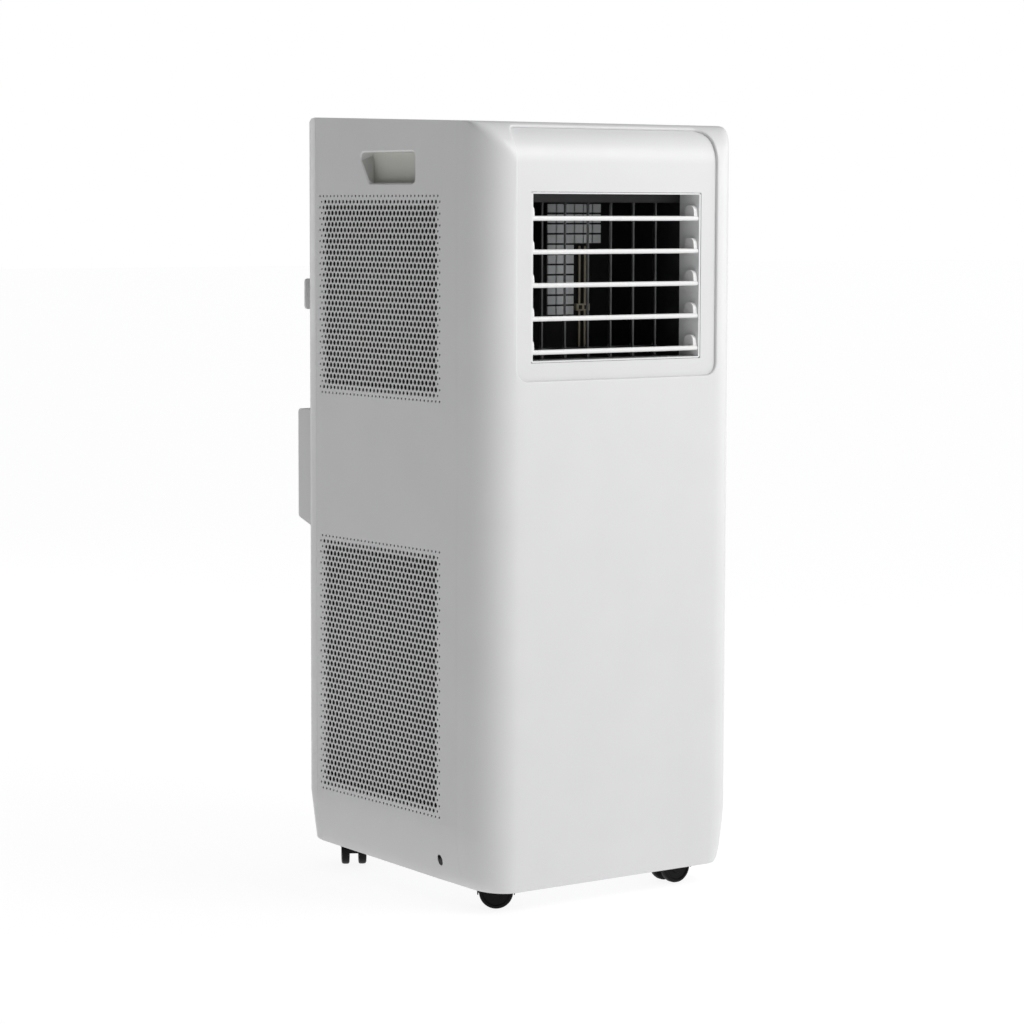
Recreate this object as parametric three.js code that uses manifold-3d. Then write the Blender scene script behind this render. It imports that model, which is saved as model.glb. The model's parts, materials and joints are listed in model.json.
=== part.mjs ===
// Portable air conditioner on casters.
// Units are millimetres and +Z is up. Inside the group `machine` the coordinates are the casing's own:
// X from the left side plane to the right, Y from the front plane back, Z up from the front bottom edge.
import * as THREE from 'three';
import { mergeVertices } from 'three/addons/utils/BufferGeometryUtils.js';
import Module from 'manifold-3d';

const wasm = await Module();
wasm.setup();

// ---------------------------------------------------------------- driving dimensions
const WIDTH = 320;
const DEPTH = 338;
const HEIGHT = 750; // at the front
const RAKE = 0.031; // rise of the top and bottom edges towards the rear, per mm
const CORNER = 38; // upright corners in plan
const BROW = 40; // rounding of the top front edge
const REAR_BROW = 36;
const WALL = 2.8;
const SEAM = 0.4;
const FIT = 0.3; // gap between pieces that touch
const FLOOR = -22; // the floor, below the front bottom edge
const EXHAUST_STAND_OFF = 30;

const CENTRE = WIDTH / 2;
const FRONT_SEAM = 52; // where the front shell meets the side panels
const REAR_SEAM = 300; // where the side panels meet the rear panel

const INSERT = { half: 125.5, bottom: 500, top: 747.5, recess: 3, wall: 2.5, radius: 13 };
const OUTLET = { half: 106.5, bottom: 517.7, top: 683 };
const GRILLE = { front: 80, rear: 291, slot: 9, pitch: 18, upper: [478.5, 679], lower: [66.5, 330.5] };
const HANDLE = { front: 123, rearTop: 222, rearBottom: 202.5, bottom: 691.6, top: 722.5, depth: 22 };
const SIDE_RECESS = { y: 84.7, z: 22.3, radius: 4.5 };

const LOUVER = {
  count: 5, lowest: 527.5, pitch: 32.4, chord: 28, lead: 9, thickness: 2.6, bead: 1.7, half: 104.1, tilt: 3.5,
};
const LOUVER_PIVOT = { y: 13, rise: 8, pin: 2.2, hole: 2.8 };
const LOUVER_LINK = { x: 60.4, y: 25, drop: -1, pin: 1.8, hole: 2.3 };
const VANE = {
  count: 7, middle: CENTRE + 2.2, pitch: 28.8, front: 44, chord: 22, thickness: 1.6, pivot: 54, heading: -35,
};
const VANE_LINK = { reach: 18.5, z: 526.5, pin: 1.8, hole: 2.4 };
const DUCT = { half: 108, front: 34.6, rear: 150, floor: 516.4, ceiling: 673, top: 682.6, wall: 2.6 };

const UPPER_FAN = { x: CENTRE, z: 446, front: 84, rear: 146, radius: 60 };
const LOWER_FAN = { y: 180, z: 190, left: 62, right: 128, radius: 64 };
const EXHAUST = { left: 22, right: 298, bottom: 343, top: 457, openHalf: 96, openBottom: 356, openTop: 444 };
const FILTER_COVER = { left: 60, right: 260, bottom: 505, top: 716 };
const CASTER = { wheel: 17, trail: 8, hood: 18.9, inner: 4, outer: 13.5, stem: 4.6, hole: 5.1 };
const GUARD = {
  x0: 128, x1: 212, xMid: 178, z0: 546, z1: 669, zMid: 620, y: 96, cellX: 26, cellZ: 19, bar: 2,
};
const PAN = { floor: 22, thickness: 3, rim: 42, inset: 8.2 };
// How the casing tucks in towards its foot.
const FOOT = { top: 60, toe: 11, toeInset: 5.7, heel: 3, heelInset: 8, frontShare: 0.6 };

// ---------------------------------------------------------------- materials
const paint = (colour, roughness, metalness = 0) =>
  new THREE.MeshStandardMaterial({ color: colour, roughness, metalness });
const MATERIAL = {
  casing: () => paint(0xeeeeec, 0.35),
  frame: () => paint(0xc9cbcc, 0.45),
  louver: () => paint(0xf2f2f0, 0.35),
  vane: () => paint(0x4a4c4e, 0.5),
  dark: () => paint(0x17181a, 0.6),
  guard: () => paint(0xb4b6b8, 0.5),
  panel: () => paint(0xdfe0e0, 0.3),
  display: () => paint(0x0c0d10, 0.1),
  button: () => paint(0xb9bcbe, 0.4),
  filter: () => paint(0x3a3c36, 0.8),
  fins: () => paint(0xb8bcc0, 0.35, 0.8),
  copper: () => paint(0xb87345, 0.3, 0.9),
  enamel: () => paint(0x1c1c1e, 0.45, 0.2),
  steel: () => paint(0xa8acb0, 0.4, 0.9),
  rubber: () => paint(0x202020, 0.85),
  caster: () => paint(0x101010, 0.5),
};

// ---------------------------------------------------------------- solids
// A closed geometry as a solid, its repeated vertices joined and its empty triangles dropped.
function solid(geometry) {
  const bare = geometry.clone();
  bare.deleteAttribute('normal');
  bare.deleteAttribute('uv');
  const merged = mergeVertices(bare, 1e-4);
  const corners = merged.index.array;
  const triangles = [];
  for (let i = 0; i < corners.length; i += 3) {
    const [a, b, c] = corners.slice(i, i + 3);
    if (a !== b && b !== c && c !== a) triangles.push(a, b, c);
  }
  const vertProperties = new Float32Array(merged.attributes.position.array);
  const triVerts = new Uint32Array(triangles);
  return new wasm.Manifold(new wasm.Mesh({ numProp: 3, vertProperties, triVerts }));
}

function geometryOf(body) {
  const data = body.getMesh();
  const geometry = new THREE.BufferGeometry();
  geometry.setAttribute('position', new THREE.BufferAttribute(new Float32Array(data.vertProperties), 3));
  geometry.setIndex(new THREE.BufferAttribute(new Uint32Array(data.triVerts), 1));
  geometry.computeVertexNormals();
  return geometry;
}

const join = (first, ...others) => others.reduce((sum, body) => sum.add(body), first);
const cut = (first, ...others) => others.reduce((rest, body) => rest.subtract(body), first);
const common = (first, ...others) => others.reduce((part, body) => part.intersect(body), first);

// An outline of [x, y, radius] corners as points, each rounded corner as an arc of chords.
function outline(corners, steps = 5) {
  const points = [];
  corners.forEach(([x, y, radius = 0], i) => {
    const corner = new THREE.Vector2(x, y);
    if (radius === 0) {
      points.push(corner);
      return;
    }
    const previous = new THREE.Vector2(...corners[(i + corners.length - 1) % corners.length].slice(0, 2));
    const next = new THREE.Vector2(...corners[(i + 1) % corners.length].slice(0, 2));
    const back = previous.sub(corner).normalize();
    const ahead = next.sub(corner).normalize();
    const halfAngle = Math.acos(back.dot(ahead)) / 2;
    const toMiddle = back.clone().add(ahead).normalize().multiplyScalar(radius / Math.sin(halfAngle));
    const middle = toMiddle.add(corner);
    const start = back.clone().multiplyScalar(radius / Math.tan(halfAngle)).add(corner).sub(middle);
    const end = ahead.clone().multiplyScalar(radius / Math.tan(halfAngle)).add(corner).sub(middle);
    const sweep = Math.atan2(start.cross(end), start.dot(end));
    for (let k = 0; k <= steps; k += 1) {
      points.push(start.clone().rotateAround(new THREE.Vector2(), (sweep * k) / steps).add(middle));
    }
  });
  return points;
}

const rectangle = (x0, x1, y0, y1, radius = 0) =>
  [[x0, y0, radius], [x1, y0, radius], [x1, y1, radius], [x0, y1, radius]];

// A flat outline pushed along an axis, from one coordinate to another. Its own x and y run along
// (X, Y) for axis z, along (Y, Z) for axis x, and along (X, Z) for axis y.
function slabGeometry(points, axis, from, to) {
  const depth = to - from;
  const geometry = new THREE.ExtrudeGeometry(new THREE.Shape(points), { depth, bevelEnabled: false });
  const [x, y, z] = [new THREE.Vector3(1, 0, 0), new THREE.Vector3(0, 1, 0), new THREE.Vector3(0, 0, 1)];
  const turn = new THREE.Matrix4();
  if (axis === 'x') turn.makeBasis(y, z, x);
  if (axis === 'y') turn.makeBasis(x, z, y.clone().negate());
  geometry.applyMatrix4(turn);
  if (axis === 'x') geometry.translate(from, 0, 0);
  if (axis === 'y') geometry.translate(0, to, 0);
  if (axis === 'z') geometry.translate(0, 0, from);
  return geometry;
}
const slab = (points, axis, from, to) => solid(slabGeometry(points, axis, from, to));

function box(x0, x1, y0, y1, z0, z1) {
  const geometry = new THREE.BoxGeometry(x1 - x0, y1 - y0, z1 - z0);
  geometry.translate((x0 + x1) / 2, (y0 + y1) / 2, (z0 + z1) / 2);
  return solid(geometry);
}

// A round bar along an axis between two coordinates; `a` and `b` are its centre on the other two axes.
function bar(axis, from, to, a, b, radius, sides = 12) {
  const geometry = new THREE.CylinderGeometry(radius, radius, to - from, sides);
  const middle = (from + to) / 2;
  if (axis === 'x') geometry.rotateZ(-Math.PI / 2).translate(middle, a, b);
  if (axis === 'y') geometry.translate(a, middle, b);
  if (axis === 'z') geometry.rotateX(Math.PI / 2).translate(a, b, middle);
  return solid(geometry);
}

// A tube of constant radius along a smooth curve through points.
function pipe(points, radius, steps, sides = 8) {
  const stations = points.map((p) => new THREE.Vector3(...p));
  const extrudePath = new THREE.CatmullRomCurve3(stations, false, 'centripetal');
  const options = { steps, extrudePath, bevelEnabled: false };
  const turns = Array.from({ length: sides }, (_, k) => (2 * Math.PI * k) / sides);
  const ring = turns.map((t) => new THREE.Vector2(radius * Math.cos(t), radius * Math.sin(t)));
  const section = new THREE.Shape(ring);
  return solid(new THREE.ExtrudeGeometry(section, options));
}

function place(name, body, material, parent) {
  const mesh = new THREE.Mesh(geometryOf(body), material());
  mesh.name = name;
  parent.add(mesh);
  return mesh;
}

// ---------------------------------------------------------------- casing
const product = new THREE.Group();
const machine = new THREE.Group();
machine.position.set(-CENTRE, -(DEPTH + EXHAUST_STAND_OFF) / 2, -FLOOR);
product.add(machine);

const topAt = (y) => HEIGHT - 0.2 + RAKE * y;
const bottomAt = (y) => -1 + RAKE * y;

// The rounded rear corners drawn in at the foot, level by level, about the corner's own upright centre line.
function rearCorners(inset) {
  const { top, toe, toeInset, heel, heelInset } = FOOT;
  const levels = [
    [HEIGHT + 60, 0], [top, 0], [toe + inset, toeInset], [heel + inset, heelInset], [-9, heelInset + 9],
  ];
  const rows = levels.map(([z, drawnIn]) => {
    const away = inset + drawnIn;
    const plan = rectangle(away, WIDTH - away, -CORNER, DEPTH - away, CORNER - away);
    return slab(outline(plan, 6), 'z', z - 0.01, z);
  });
  return wasm.Manifold.hull(rows);
}

// The whole casing as one block, shrunk by `inset` on every face: its plan, its side view with the rounded
// brow and its front view with the tucked-in foot, each pushed through the others.
function block(inset) {
  const far = 60;
  const { top, toe, toeInset, heel, heelInset, frontShare } = FOOT;
  const plan = rectangle(inset, WIDTH - inset, inset, DEPTH - inset, CORNER - inset);
  const side = [
    [inset + heelInset * frontShare, bottomAt(0) + inset, 0],
    [inset + toeInset * frontShare, toe + inset, 0],
    [inset, top, 0],
    [inset, topAt(0) - inset, BROW - inset],
    [DEPTH - inset, topAt(DEPTH) - inset, REAR_BROW - inset],
    [DEPTH - inset, top, 0],
    [DEPTH - inset - toeInset, toe + inset + 1, 0],
    [DEPTH - inset - heelInset, bottomAt(DEPTH) + inset, 0],
  ].reverse();
  const foot = [
    [inset + heelInset + 5, inset - 2],
    [inset + heelInset, heel + inset],
    [inset + toeInset, toe + inset],
    [inset, top],
  ];
  const front = [
    ...foot,
    [inset, HEIGHT + far],
    [WIDTH - inset, HEIGHT + far],
    ...foot.map(([x, z]) => [WIDTH - x, z]).reverse(),
  ].reverse();
  return common(
    slab(outline(plan, 6), 'z', -far, HEIGHT + far),
    slab(outline(side, 6), 'x', -far, WIDTH + far),
    slab(outline(front), 'y', -far, DEPTH + far),
    rearCorners(inset),
  );
}

// The wall all round, open underneath but for a narrow rolled-in lip.
const LIP = { side: 12.5, end: 9.4 };
const mouthPlan = rectangle(LIP.side, WIDTH - LIP.side, LIP.end, DEPTH - LIP.end, 26);
const mouth = slab(outline(mouthPlan, 6), 'z', -9, 20);
const SHELL = cut(block(0), block(WALL), mouth);
const AROUND = block(-FIT);

// Everything that the recessed upper front covers; `grow` is the margin round it.
function insertZone(grow) {
  const { half, bottom, top, radius } = INSERT;
  const [x0, x1] = [CENTRE - half - grow, CENTRE + half + grow];
  const corners = rectangle(x0, x1, bottom - grow, top + grow, radius + grow);
  return slab(outline(corners, 4), 'y', -9, FRONT_SEAM - 8);
}

// Where the lid lies in the top face, its front edge undercut; `grow` is the margin round it.
const LID = { side: WALL + 0.6, front: 45, rear: REAR_SEAM - SEAM / 2, undercut: 3, below: 6 };
function lidZone(grow) {
  const { side, front, rear, undercut, below } = LID;
  const profile = [
    [front + undercut - grow, HEIGHT - below, 0], [rear + grow, HEIGHT - below, 0],
    [rear + grow, HEIGHT + below * 3, 0], [front - undercut - grow, HEIGHT + below * 3, 0],
    [front - undercut - grow, HEIGHT, 0],
  ];
  return slab(outline(profile), 'x', side - grow, WIDTH - side + grow);
}

function frontPanel() {
  const half = box(-9, WIDTH + 9, -9, FRONT_SEAM - SEAM / 2, -9, HEIGHT + 30);
  return cut(common(SHELL, half), insertZone(0), lidZone(SEAM));
}

function outletBezel() {
  const { recess, wall } = INSERT;
  const skin = cut(block(recess), block(recess + wall));
  const opening = rectangle(CENTRE - OUTLET.half, CENTRE + OUTLET.half, OUTLET.bottom, OUTLET.top, 2);
  return cut(common(skin, insertZone(4)), slab(outline(opening, 2), 'y', -9, 30), lidZone(SEAM));
}

// Rows of level slots across a panel that stands across `axis`.
function slots(axis, from, to, a0, a1, z0, z1) {
  const count = Math.floor((z1 - z0) / GRILLE.pitch);
  const first = (z0 + z1) / 2 - ((count - 1) * GRILLE.pitch) / 2;
  return Array.from({ length: count }, (_, k) => {
    const z = first + k * GRILLE.pitch;
    const ends = rectangle(a0, a1, z - GRILLE.slot / 2, z + GRILLE.slot / 2);
    return slab(outline(ends), axis, from, to);
  });
}

// The hand pocket's outline, grown by `grow`; its rear end leans forward as it goes down.
function handleOutline(grow) {
  return outline([
    [HANDLE.front - grow, HANDLE.bottom - grow, 4],
    [HANDLE.rearBottom + grow, HANDLE.bottom - grow, 4],
    [HANDLE.rearTop + grow, HANDLE.top + grow, 4],
    [HANDLE.front - grow, HANDLE.top + grow, 4],
  ], 2);
}

function sidePanel(side) {
  const [x0, x1] = side === 'left' ? [-9, WALL + 0.2] : [WIDTH - WALL - 0.2, WIDTH + 9];
  const [foot0, foot1] = side === 'left' ? [-9, LIP.side] : [WIDTH - LIP.side, WIDTH + 9];
  const [y0, y1] = [FRONT_SEAM + SEAM / 2, REAR_SEAM - SEAM / 2];
  const strip = join(box(x0, x1, y0, y1, -9, HEIGHT + 30), box(foot0, foot1, y0, y1, -9, FOOT.top + 1));
  const [outside, inside] = side === 'left' ? [0, HANDLE.depth] : [WIDTH - HANDLE.depth, WIDTH];
  const [cutFrom, cutTo] = side === 'left' ? [-9, HANDLE.depth - 2] : [WIDTH - HANDLE.depth + 2, WIDTH + 9];
  const windows = [GRILLE.upper, GRILLE.lower].flatMap(([z0, z1]) =>
    slots('x', x0, x1, GRILLE.front + 2, GRILLE.rear - 2, z0, z1));
  const recess = bar('x', x0, x1, SIDE_RECESS.y, SIDE_RECESS.z, SIDE_RECESS.radius, 10);
  const pocket = slab(handleOutline(2), 'x', outside, inside);
  const hollow = slab(handleOutline(0), 'x', cutFrom, cutTo);
  return cut(join(common(SHELL, strip), pocket), hollow, ...windows, recess);
}

function rearPanel() {
  const half = box(-9, WIDTH + 9, REAR_SEAM + SEAM / 2, DEPTH + 9, -9, HEIGHT + 30);
  const cover = FILTER_COVER;
  const opening = rectangle(cover.left + 6, cover.right - 6, cover.bottom + 6, cover.top - 6, 3);
  const intake = slab(outline(opening, 2), 'y', REAR_SEAM, DEPTH + 9);
  const exhaust = slab(outline(exhaustOutline(0), 3), 'y', REAR_SEAM, DEPTH + 9);
  const drain = bar('y', REAR_SEAM, DEPTH + 9, 60, 56, 8.4, 12);
  const gland = bar('y', REAR_SEAM, DEPTH + 9, 262, 120, 9.4, 12);
  const lower = slots('y', REAR_SEAM, DEPTH + 9, 90, 230, 150, 310);
  return cut(common(SHELL, half), lidZone(SEAM), intake, exhaust, drain, gland, ...lower);
}

const CONTROL = { x: CENTRE, y: 98, width: 206, depth: 62, face: -0.5 };
const BUTTON = { radius: 7.5, rise: 0.4, pitch: 27, names: ['power', 'mode', 'down', 'up'] };

// The top face's own frame: its z is the face's normal and its origin lies on the face, above the origin.
const topFace = new THREE.Group();
topFace.position.set(0, 0, topAt(0));
topFace.rotation.x = Math.atan(RAKE);
topFace.updateMatrix();
machine.add(topFace);

function topCover() {
  const { x, y, width, depth } = CONTROL;
  const plate = (grow, radius) =>
    rectangle(x - width / 2 - grow, x + width / 2 + grow, y - depth / 2 - grow, y + depth / 2 + grow, radius);
  const hole = plate(-4, 4);
  const seat = plate(FIT, 6);
  const cutters = [slabGeometry(outline(hole, 3), 'z', -9, 9), slabGeometry(outline(seat, 3), 'z', -1.6, 9)];
  const turned = cutters.map((cutter) => solid(cutter.applyMatrix4(topFace.matrix)));
  return cut(common(SHELL, lidZone(0)), ...turned);
}

// ---------------------------------------------------------------- controls
function controls() {
  const { x, y, width, depth, face } = CONTROL;
  const plate = rectangle(x - width / 2, x + width / 2, y - depth / 2, y + depth / 2, 6);
  const step = rectangle(x - width / 2 + 5, x + width / 2 - 5, y - depth / 2 + 5, y + depth / 2 - 5, 4);
  const firstButton = x - 1.5 * BUTTON.pitch - 34;
  const buttonX = BUTTON.names.map((_, k) => firstButton + k * BUTTON.pitch + (k > 1 ? 68 : 0));
  const holes = buttonX.map((bx) => bar('z', -9, 9, bx, y, BUTTON.radius + 0.5, 14));
  const glass = rectangle(x - 24, x + 24, y - 13, y + 13, 3);
  const seat = rectangle(x - 24.3, x + 24.3, y - 13.3, y + 13.3, 3);
  const rim = slab(outline(plate, 3), 'z', face - 0.8, face);
  const panel = join(rim, slab(outline(step, 3), 'z', face - 2.4, face - 0.7));
  const glassSeat = slab(outline(seat, 2), 'z', face - 1.6, 9);
  place('control_panel', cut(panel, ...holes, glassSeat), MATERIAL.panel, topFace);
  place('display_window', slab(outline(glass, 2), 'z', face - 1.3, face + 0.1), MATERIAL.display, topFace);
  BUTTON.names.forEach((name, k) => {
    const cap = bar('z', face - 2.2, face + BUTTON.rise, buttonX[k], y, BUTTON.radius, 14);
    const flange = bar('z', face - 5.2, face - 3.9, buttonX[k], y, BUTTON.radius + 1.8, 10);
    const neck = bar('z', face - 4.1, face - 2, buttonX[k], y, 5, 8);
    place(`button_${name}`, join(cap, neck, flange), MATERIAL.button, topFace);
  });
}

// ---------------------------------------------------------------- air outlet
function louverFrame() {
  const { half, bottom, top } = OUTLET;
  const border = rectangle(CENTRE - half + FIT, CENTRE + half - FIT, bottom + FIT, top - FIT, 2);
  const ring = slab(outline(border, 2), 'y', INSERT.recess + 0.6, DUCT.front - SEAM);
  const inside = slab(outline(rectangle(CENTRE - half + 2.2, CENTRE + half - 2.2, bottom + 1.8, top - 1.8)),
    'y', -9, 60);
  const pivots = louverHeights().map((z) =>
    bar('x', 0, WIDTH, LOUVER_PIVOT.y, z + LOUVER_PIVOT.rise, LOUVER_PIVOT.hole, 6));
  return cut(ring, inside, ...pivots);
}

const louverHeights = () => Array.from({ length: LOUVER.count }, (_, k) => LOUVER.lowest + k * LOUVER.pitch);

// One blade: its front edge slightly raised, an ear with a pivot pin at each end, and at its left end an arm
// with the link's pin behind a notch that the link bar moves in.
function louver(z) {
  const { half, chord, thickness, tilt, lead, bead } = LOUVER;
  const { y: pivotY, rise, pin } = LOUVER_PIVOT;
  const [left, right] = [CENTRE - half, CENTRE + half];
  const profile = outline([
    [-lead, -bead, 1.2], [5 - lead, -bead, 0], [chord - lead, -thickness / 3, 0],
    [chord - lead, thickness / 3, 0], [5 - lead, bead, 0], [-lead, bead, 1.2],
  ], 1);
  const tilted = slabGeometry(profile, 'x', left, right);
  tilted.rotateX(-THREE.MathUtils.degToRad(tilt)).translate(0, pivotY, z);
  const notch = box(left + 2.2, LOUVER_LINK.x + 3, LOUVER_LINK.y - 6, pivotY + chord, z - 9, z + 9);
  const pivotZ = z + rise;
  const ear = (x) => slab(outline([
    [pivotY - 7, z - 0.4, 0], [pivotY + 8, z - 1.2, 0],
    [pivotY + 5, pivotZ + 4, 4], [pivotY - 5, pivotZ + 4, 4],
  ], 2), 'x', x, x + 2);
  const linkZ = z + LOUVER_LINK.drop;
  return join(
    cut(solid(tilted), notch),
    ear(left),
    ear(right - 2),
    bar('x', left - 2, left + 1, pivotY, pivotZ, pin, 6),
    bar('x', right - 1, right + 2, pivotY, pivotZ, pin, 6),
    box(left, left + 2, pivotY + 4, LOUVER_LINK.y, z - 2.4, z + 0.8),
    bar('x', left, left + 2, LOUVER_LINK.y, linkZ, 3, 6),
    bar('x', left + 1, LOUVER_LINK.x + 2.4, LOUVER_LINK.y, linkZ, LOUVER_LINK.pin, 6),
  );
}

function louvers() {
  const heights = louverHeights();
  place('louver_frame', louverFrame(), MATERIAL.frame, machine);
  heights.forEach((z, k) => place(`louver_${k + 1}`, louver(z), MATERIAL.louver, machine));
  const { x, y, drop, hole } = LOUVER_LINK;
  const [lowest, highest] = [heights[0] + drop, heights[LOUVER.count - 1] + drop];
  const ends = rectangle(y - 3.4, y + 3.4, lowest - 3.4, highest + 3.4, 2);
  const holes = heights.map((z) => bar('x', x - 9, x + 9, y, z + drop, hole, 8));
  place('louver_link', cut(slab(outline(ends, 2), 'x', x - 1, x + 1.2), ...holes), MATERIAL.dark, machine);
}

function vaneX() {
  return Array.from({ length: VANE.count }, (_, k) => VANE.middle + (k - (VANE.count - 1) / 2) * VANE.pitch);
}

function outletDuct() {
  const { half, front: mouthY, rear, floor, ceiling, top, wall } = DUCT;
  const { front, back, left, right } = UPPER_THROAT;
  const outside = box(CENTRE - half, CENTRE + half, mouthY, rear, floor, top);
  const inside = box(CENTRE - half + wall, CENTRE + half - wall, 20, rear - wall, floor + wall, ceiling);
  const throat = box(left, right, front, back, floor - 9, floor + 9);
  const sockets = vaneX().map((x) => bar('z', floor - 1, ceiling + 6, x, VANE.pivot, 2.6, 6));
  return cut(outside, inside, throat, ...sockets);
}

// One upright vane with a pin at each end and, low at its back, an arm with the link's pin. It is drawn
// straight, and then turned about its pins to its heading.
function vane(x) {
  const { front, chord, thickness, pivot } = VANE;
  const [low, high] = [DUCT.floor + DUCT.wall + 1, DUCT.ceiling - 1.2];
  const section = outline(rectangle(x - thickness / 2, x + thickness / 2, front, front + chord));
  const blade = slab(section, 'z', low, high);
  const arm = box(x - 2.6, x + 2.6, front + chord - 4, pivot + VANE_LINK.reach + 2.8, low, low + 3);
  const pins = [
    bar('z', high - 1, high + 5.4, x, pivot, 2, 6),
    bar('z', DUCT.floor + 0.4, low + 1, x, pivot, 2, 6),
    bar('z', low + 2, VANE_LINK.z + 4.6, x, pivot + VANE_LINK.reach, VANE_LINK.pin, 6),
  ];
  const straight = join(blade, arm, ...pins).translate([-x, -pivot, 0]);
  return straight.rotate([0, 0, VANE.heading]).translate([x, pivot, 0]);
}

// The finger guard: a lattice over the side of the duct that its throat leaves open, with a corner left out.
function outletGuard() {
  const { x0, x1, xMid, z0, z1, zMid, y, cellX, cellZ, bar: thickness } = GUARD;
  const sheet = slab([[x0, z0], [xMid, z0], [xMid, zMid], [x1, zMid], [x1, z1], [x0, z1]]
    .map(([a, b]) => new THREE.Vector2(a, b)), 'y', y, y + thickness);
  const cells = [];
  for (let x = x0 + thickness; x + cellX < x1; x += cellX + thickness) {
    for (let z = z1 - thickness; z - cellZ > z0; z -= cellZ + thickness) {
      const inCorner = x + cellX > xMid && z - cellZ < zMid;
      if (!inCorner) cells.push(box(x, x + cellX, y - 1, y + 3, z - cellZ, z));
    }
  }
  return cut(sheet, ...cells);
}

function vanes() {
  place('outlet_duct', outletDuct(), MATERIAL.dark, machine);
  vaneX().forEach((x, k) => place(`vane_${k + 1}`, vane(x), MATERIAL.vane, machine));
  const { reach, z, hole } = VANE_LINK;
  const heading = THREE.MathUtils.degToRad(VANE.heading);
  const arm = new THREE.Vector2(0, reach).rotateAround(new THREE.Vector2(), heading);
  const y = VANE.pivot + arm.y;
  const pins = vaneX().map((x) => x + arm.x);
  const [first, last] = [pins[0] - 4, pins[VANE.count - 1] + 4];
  const rail = slab(outline(rectangle(first, last, y - 3.2, y + 3.2, 2), 1), 'z', z, z + 2.4);
  const holes = pins.map((x) => bar('z', z - 5, z + 9, x, y, hole, 8));
  place('vane_link', cut(rail, ...holes), MATERIAL.dark, machine);
  place('outlet_guard', outletGuard(), MATERIAL.guard, machine);
}

// ---------------------------------------------------------------- fans
// A fan scroll's outline round (a, b): it grows from the tongue round to an upright throat on the far side.
function scrollOutline({ a, b, tongue, mouth: far, throat, top }, inset) {
  const turns = 12;
  const points = Array.from({ length: turns + 1 }, (_, k) => {
    const angle = (-1.5 * Math.PI * k) / turns;
    const radius = far + ((tongue - far) * k) / turns - inset;
    return new THREE.Vector2(a + radius * Math.cos(angle), b + radius * Math.sin(angle));
  });
  const rise = inset > 0 ? top + 9 : top;
  const ends = [a + far - inset, a + throat + inset].map((x) => new THREE.Vector2(x, rise));
  return [ends[0], ...points, ends[1]].reverse();
}

function scroll(axis, shape, from, to, inletAt, inlet, shaft) {
  const skin = 2.4;
  const { a, b } = shape;
  const outside = slab(scrollOutline(shape, 0), axis, from, to);
  const inside = slab(scrollOutline(shape, skin), axis, from + skin, to - skin);
  const [inletFrom, inletTo] = inletAt === 'end' ? [to - skin - 1, to + 9] : [from - 9, from + skin + 1];
  const [shaftFrom, shaftTo] = inletAt === 'end' ? [from - 9, from + skin + 1] : [to - skin - 1, to + 9];
  const eye = bar(axis, inletFrom, inletTo, a, b, inlet, 24);
  return cut(outside, inside, eye, bar(axis, shaftFrom, shaftTo, a, b, shaft, 12));
}

// A squirrel-cage wheel: back plate and shaft at the `back` end, blades, and a ring at the `mouth` end.
function fanWheel(axis, back, mouthEnd, a, b, radius, shaftEnd) {
  const direction = Math.sign(mouthEnd - back);
  const ordered = (p, q) => (p < q ? [p, q] : [q, p]);
  const part = (p, q, r, sides) => bar(axis, ...ordered(p, q), a, b, r, sides);
  const plate = part(back, back + 2 * direction, radius, 18);
  const ring = cut(part(mouthEnd - 3 * direction, mouthEnd, radius, 18),
    part(mouthEnd - 9 * direction, mouthEnd + 9 * direction, radius - 8, 18));
  const hub = part(back, back + 18 * direction, 11, 10);
  const shaft = part(shaftEnd, back + direction, 3.6, 6);
  const count = 12;
  const blades = Array.from({ length: count }, (_, k) => {
    const blade = rectangle(radius - 9, radius - 0.8, -1, 1);
    const turn = (2 * Math.PI * (k + 0.5)) / count;
    const corners = outline(blade).map((p) => p.rotateAround(new THREE.Vector2(radius - 4, 0), 0.6)
      .rotateAround(new THREE.Vector2(), turn).add(new THREE.Vector2(a, b)));
    return slab(corners, axis, ...ordered(back + direction, mouthEnd - direction));
  });
  return join(plate, ring, hub, shaft, ...blades);
}

function motor(axis, from, to, a, b, shaftSide) {
  const [low, high] = shaftSide === 'to' ? [to - 16, to + 9] : [from - 9, from + 16];
  const flange = shaftSide === 'to' ? [to - 3, to] : [from, from + 3];
  const can = bar(axis, from, to, a, b, 35, 20);
  return cut(join(can, bar(axis, ...flange, a, b, 42, 20)), bar(axis, low, high, a, b, 4.6, 10));
}

const UPPER_THROAT = { left: 182, right: 252, front: 88, back: 142 };

function upperFan() {
  const { x, z, front, rear, radius } = UPPER_FAN;
  const shape = { a: x, b: z, tongue: 66, mouth: 96, throat: 20, top: DUCT.floor - 0.4 };
  place('upper_scroll', scroll('y', shape, front, rear, 'end', 46, 9), MATERIAL.dark, machine);
  place('upper_blower', fanWheel('y', front + 7, rear - 7, x, z, radius, front - 12), MATERIAL.dark, machine);
  place('upper_motor', motor('y', front - 42, front - FIT, x, z, 'to'), MATERIAL.steel, machine);
}

function lowerFan() {
  const { y, z, left, right, radius } = LOWER_FAN;
  const shape = { a: y, b: z, tongue: 71, mouth: 104, throat: 46, top: EXHAUST.bottom - 1.4 };
  place('lower_scroll', scroll('x', shape, left, right, 'start', 50, 9), MATERIAL.dark, machine);
  place('lower_blower', fanWheel('x', right - 7, left + 7, y, z, radius, right + 12), MATERIAL.dark, machine);
  place('lower_motor', motor('x', right + FIT, right + 46, y, z, 'from'), MATERIAL.steel, machine);
}

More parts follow.
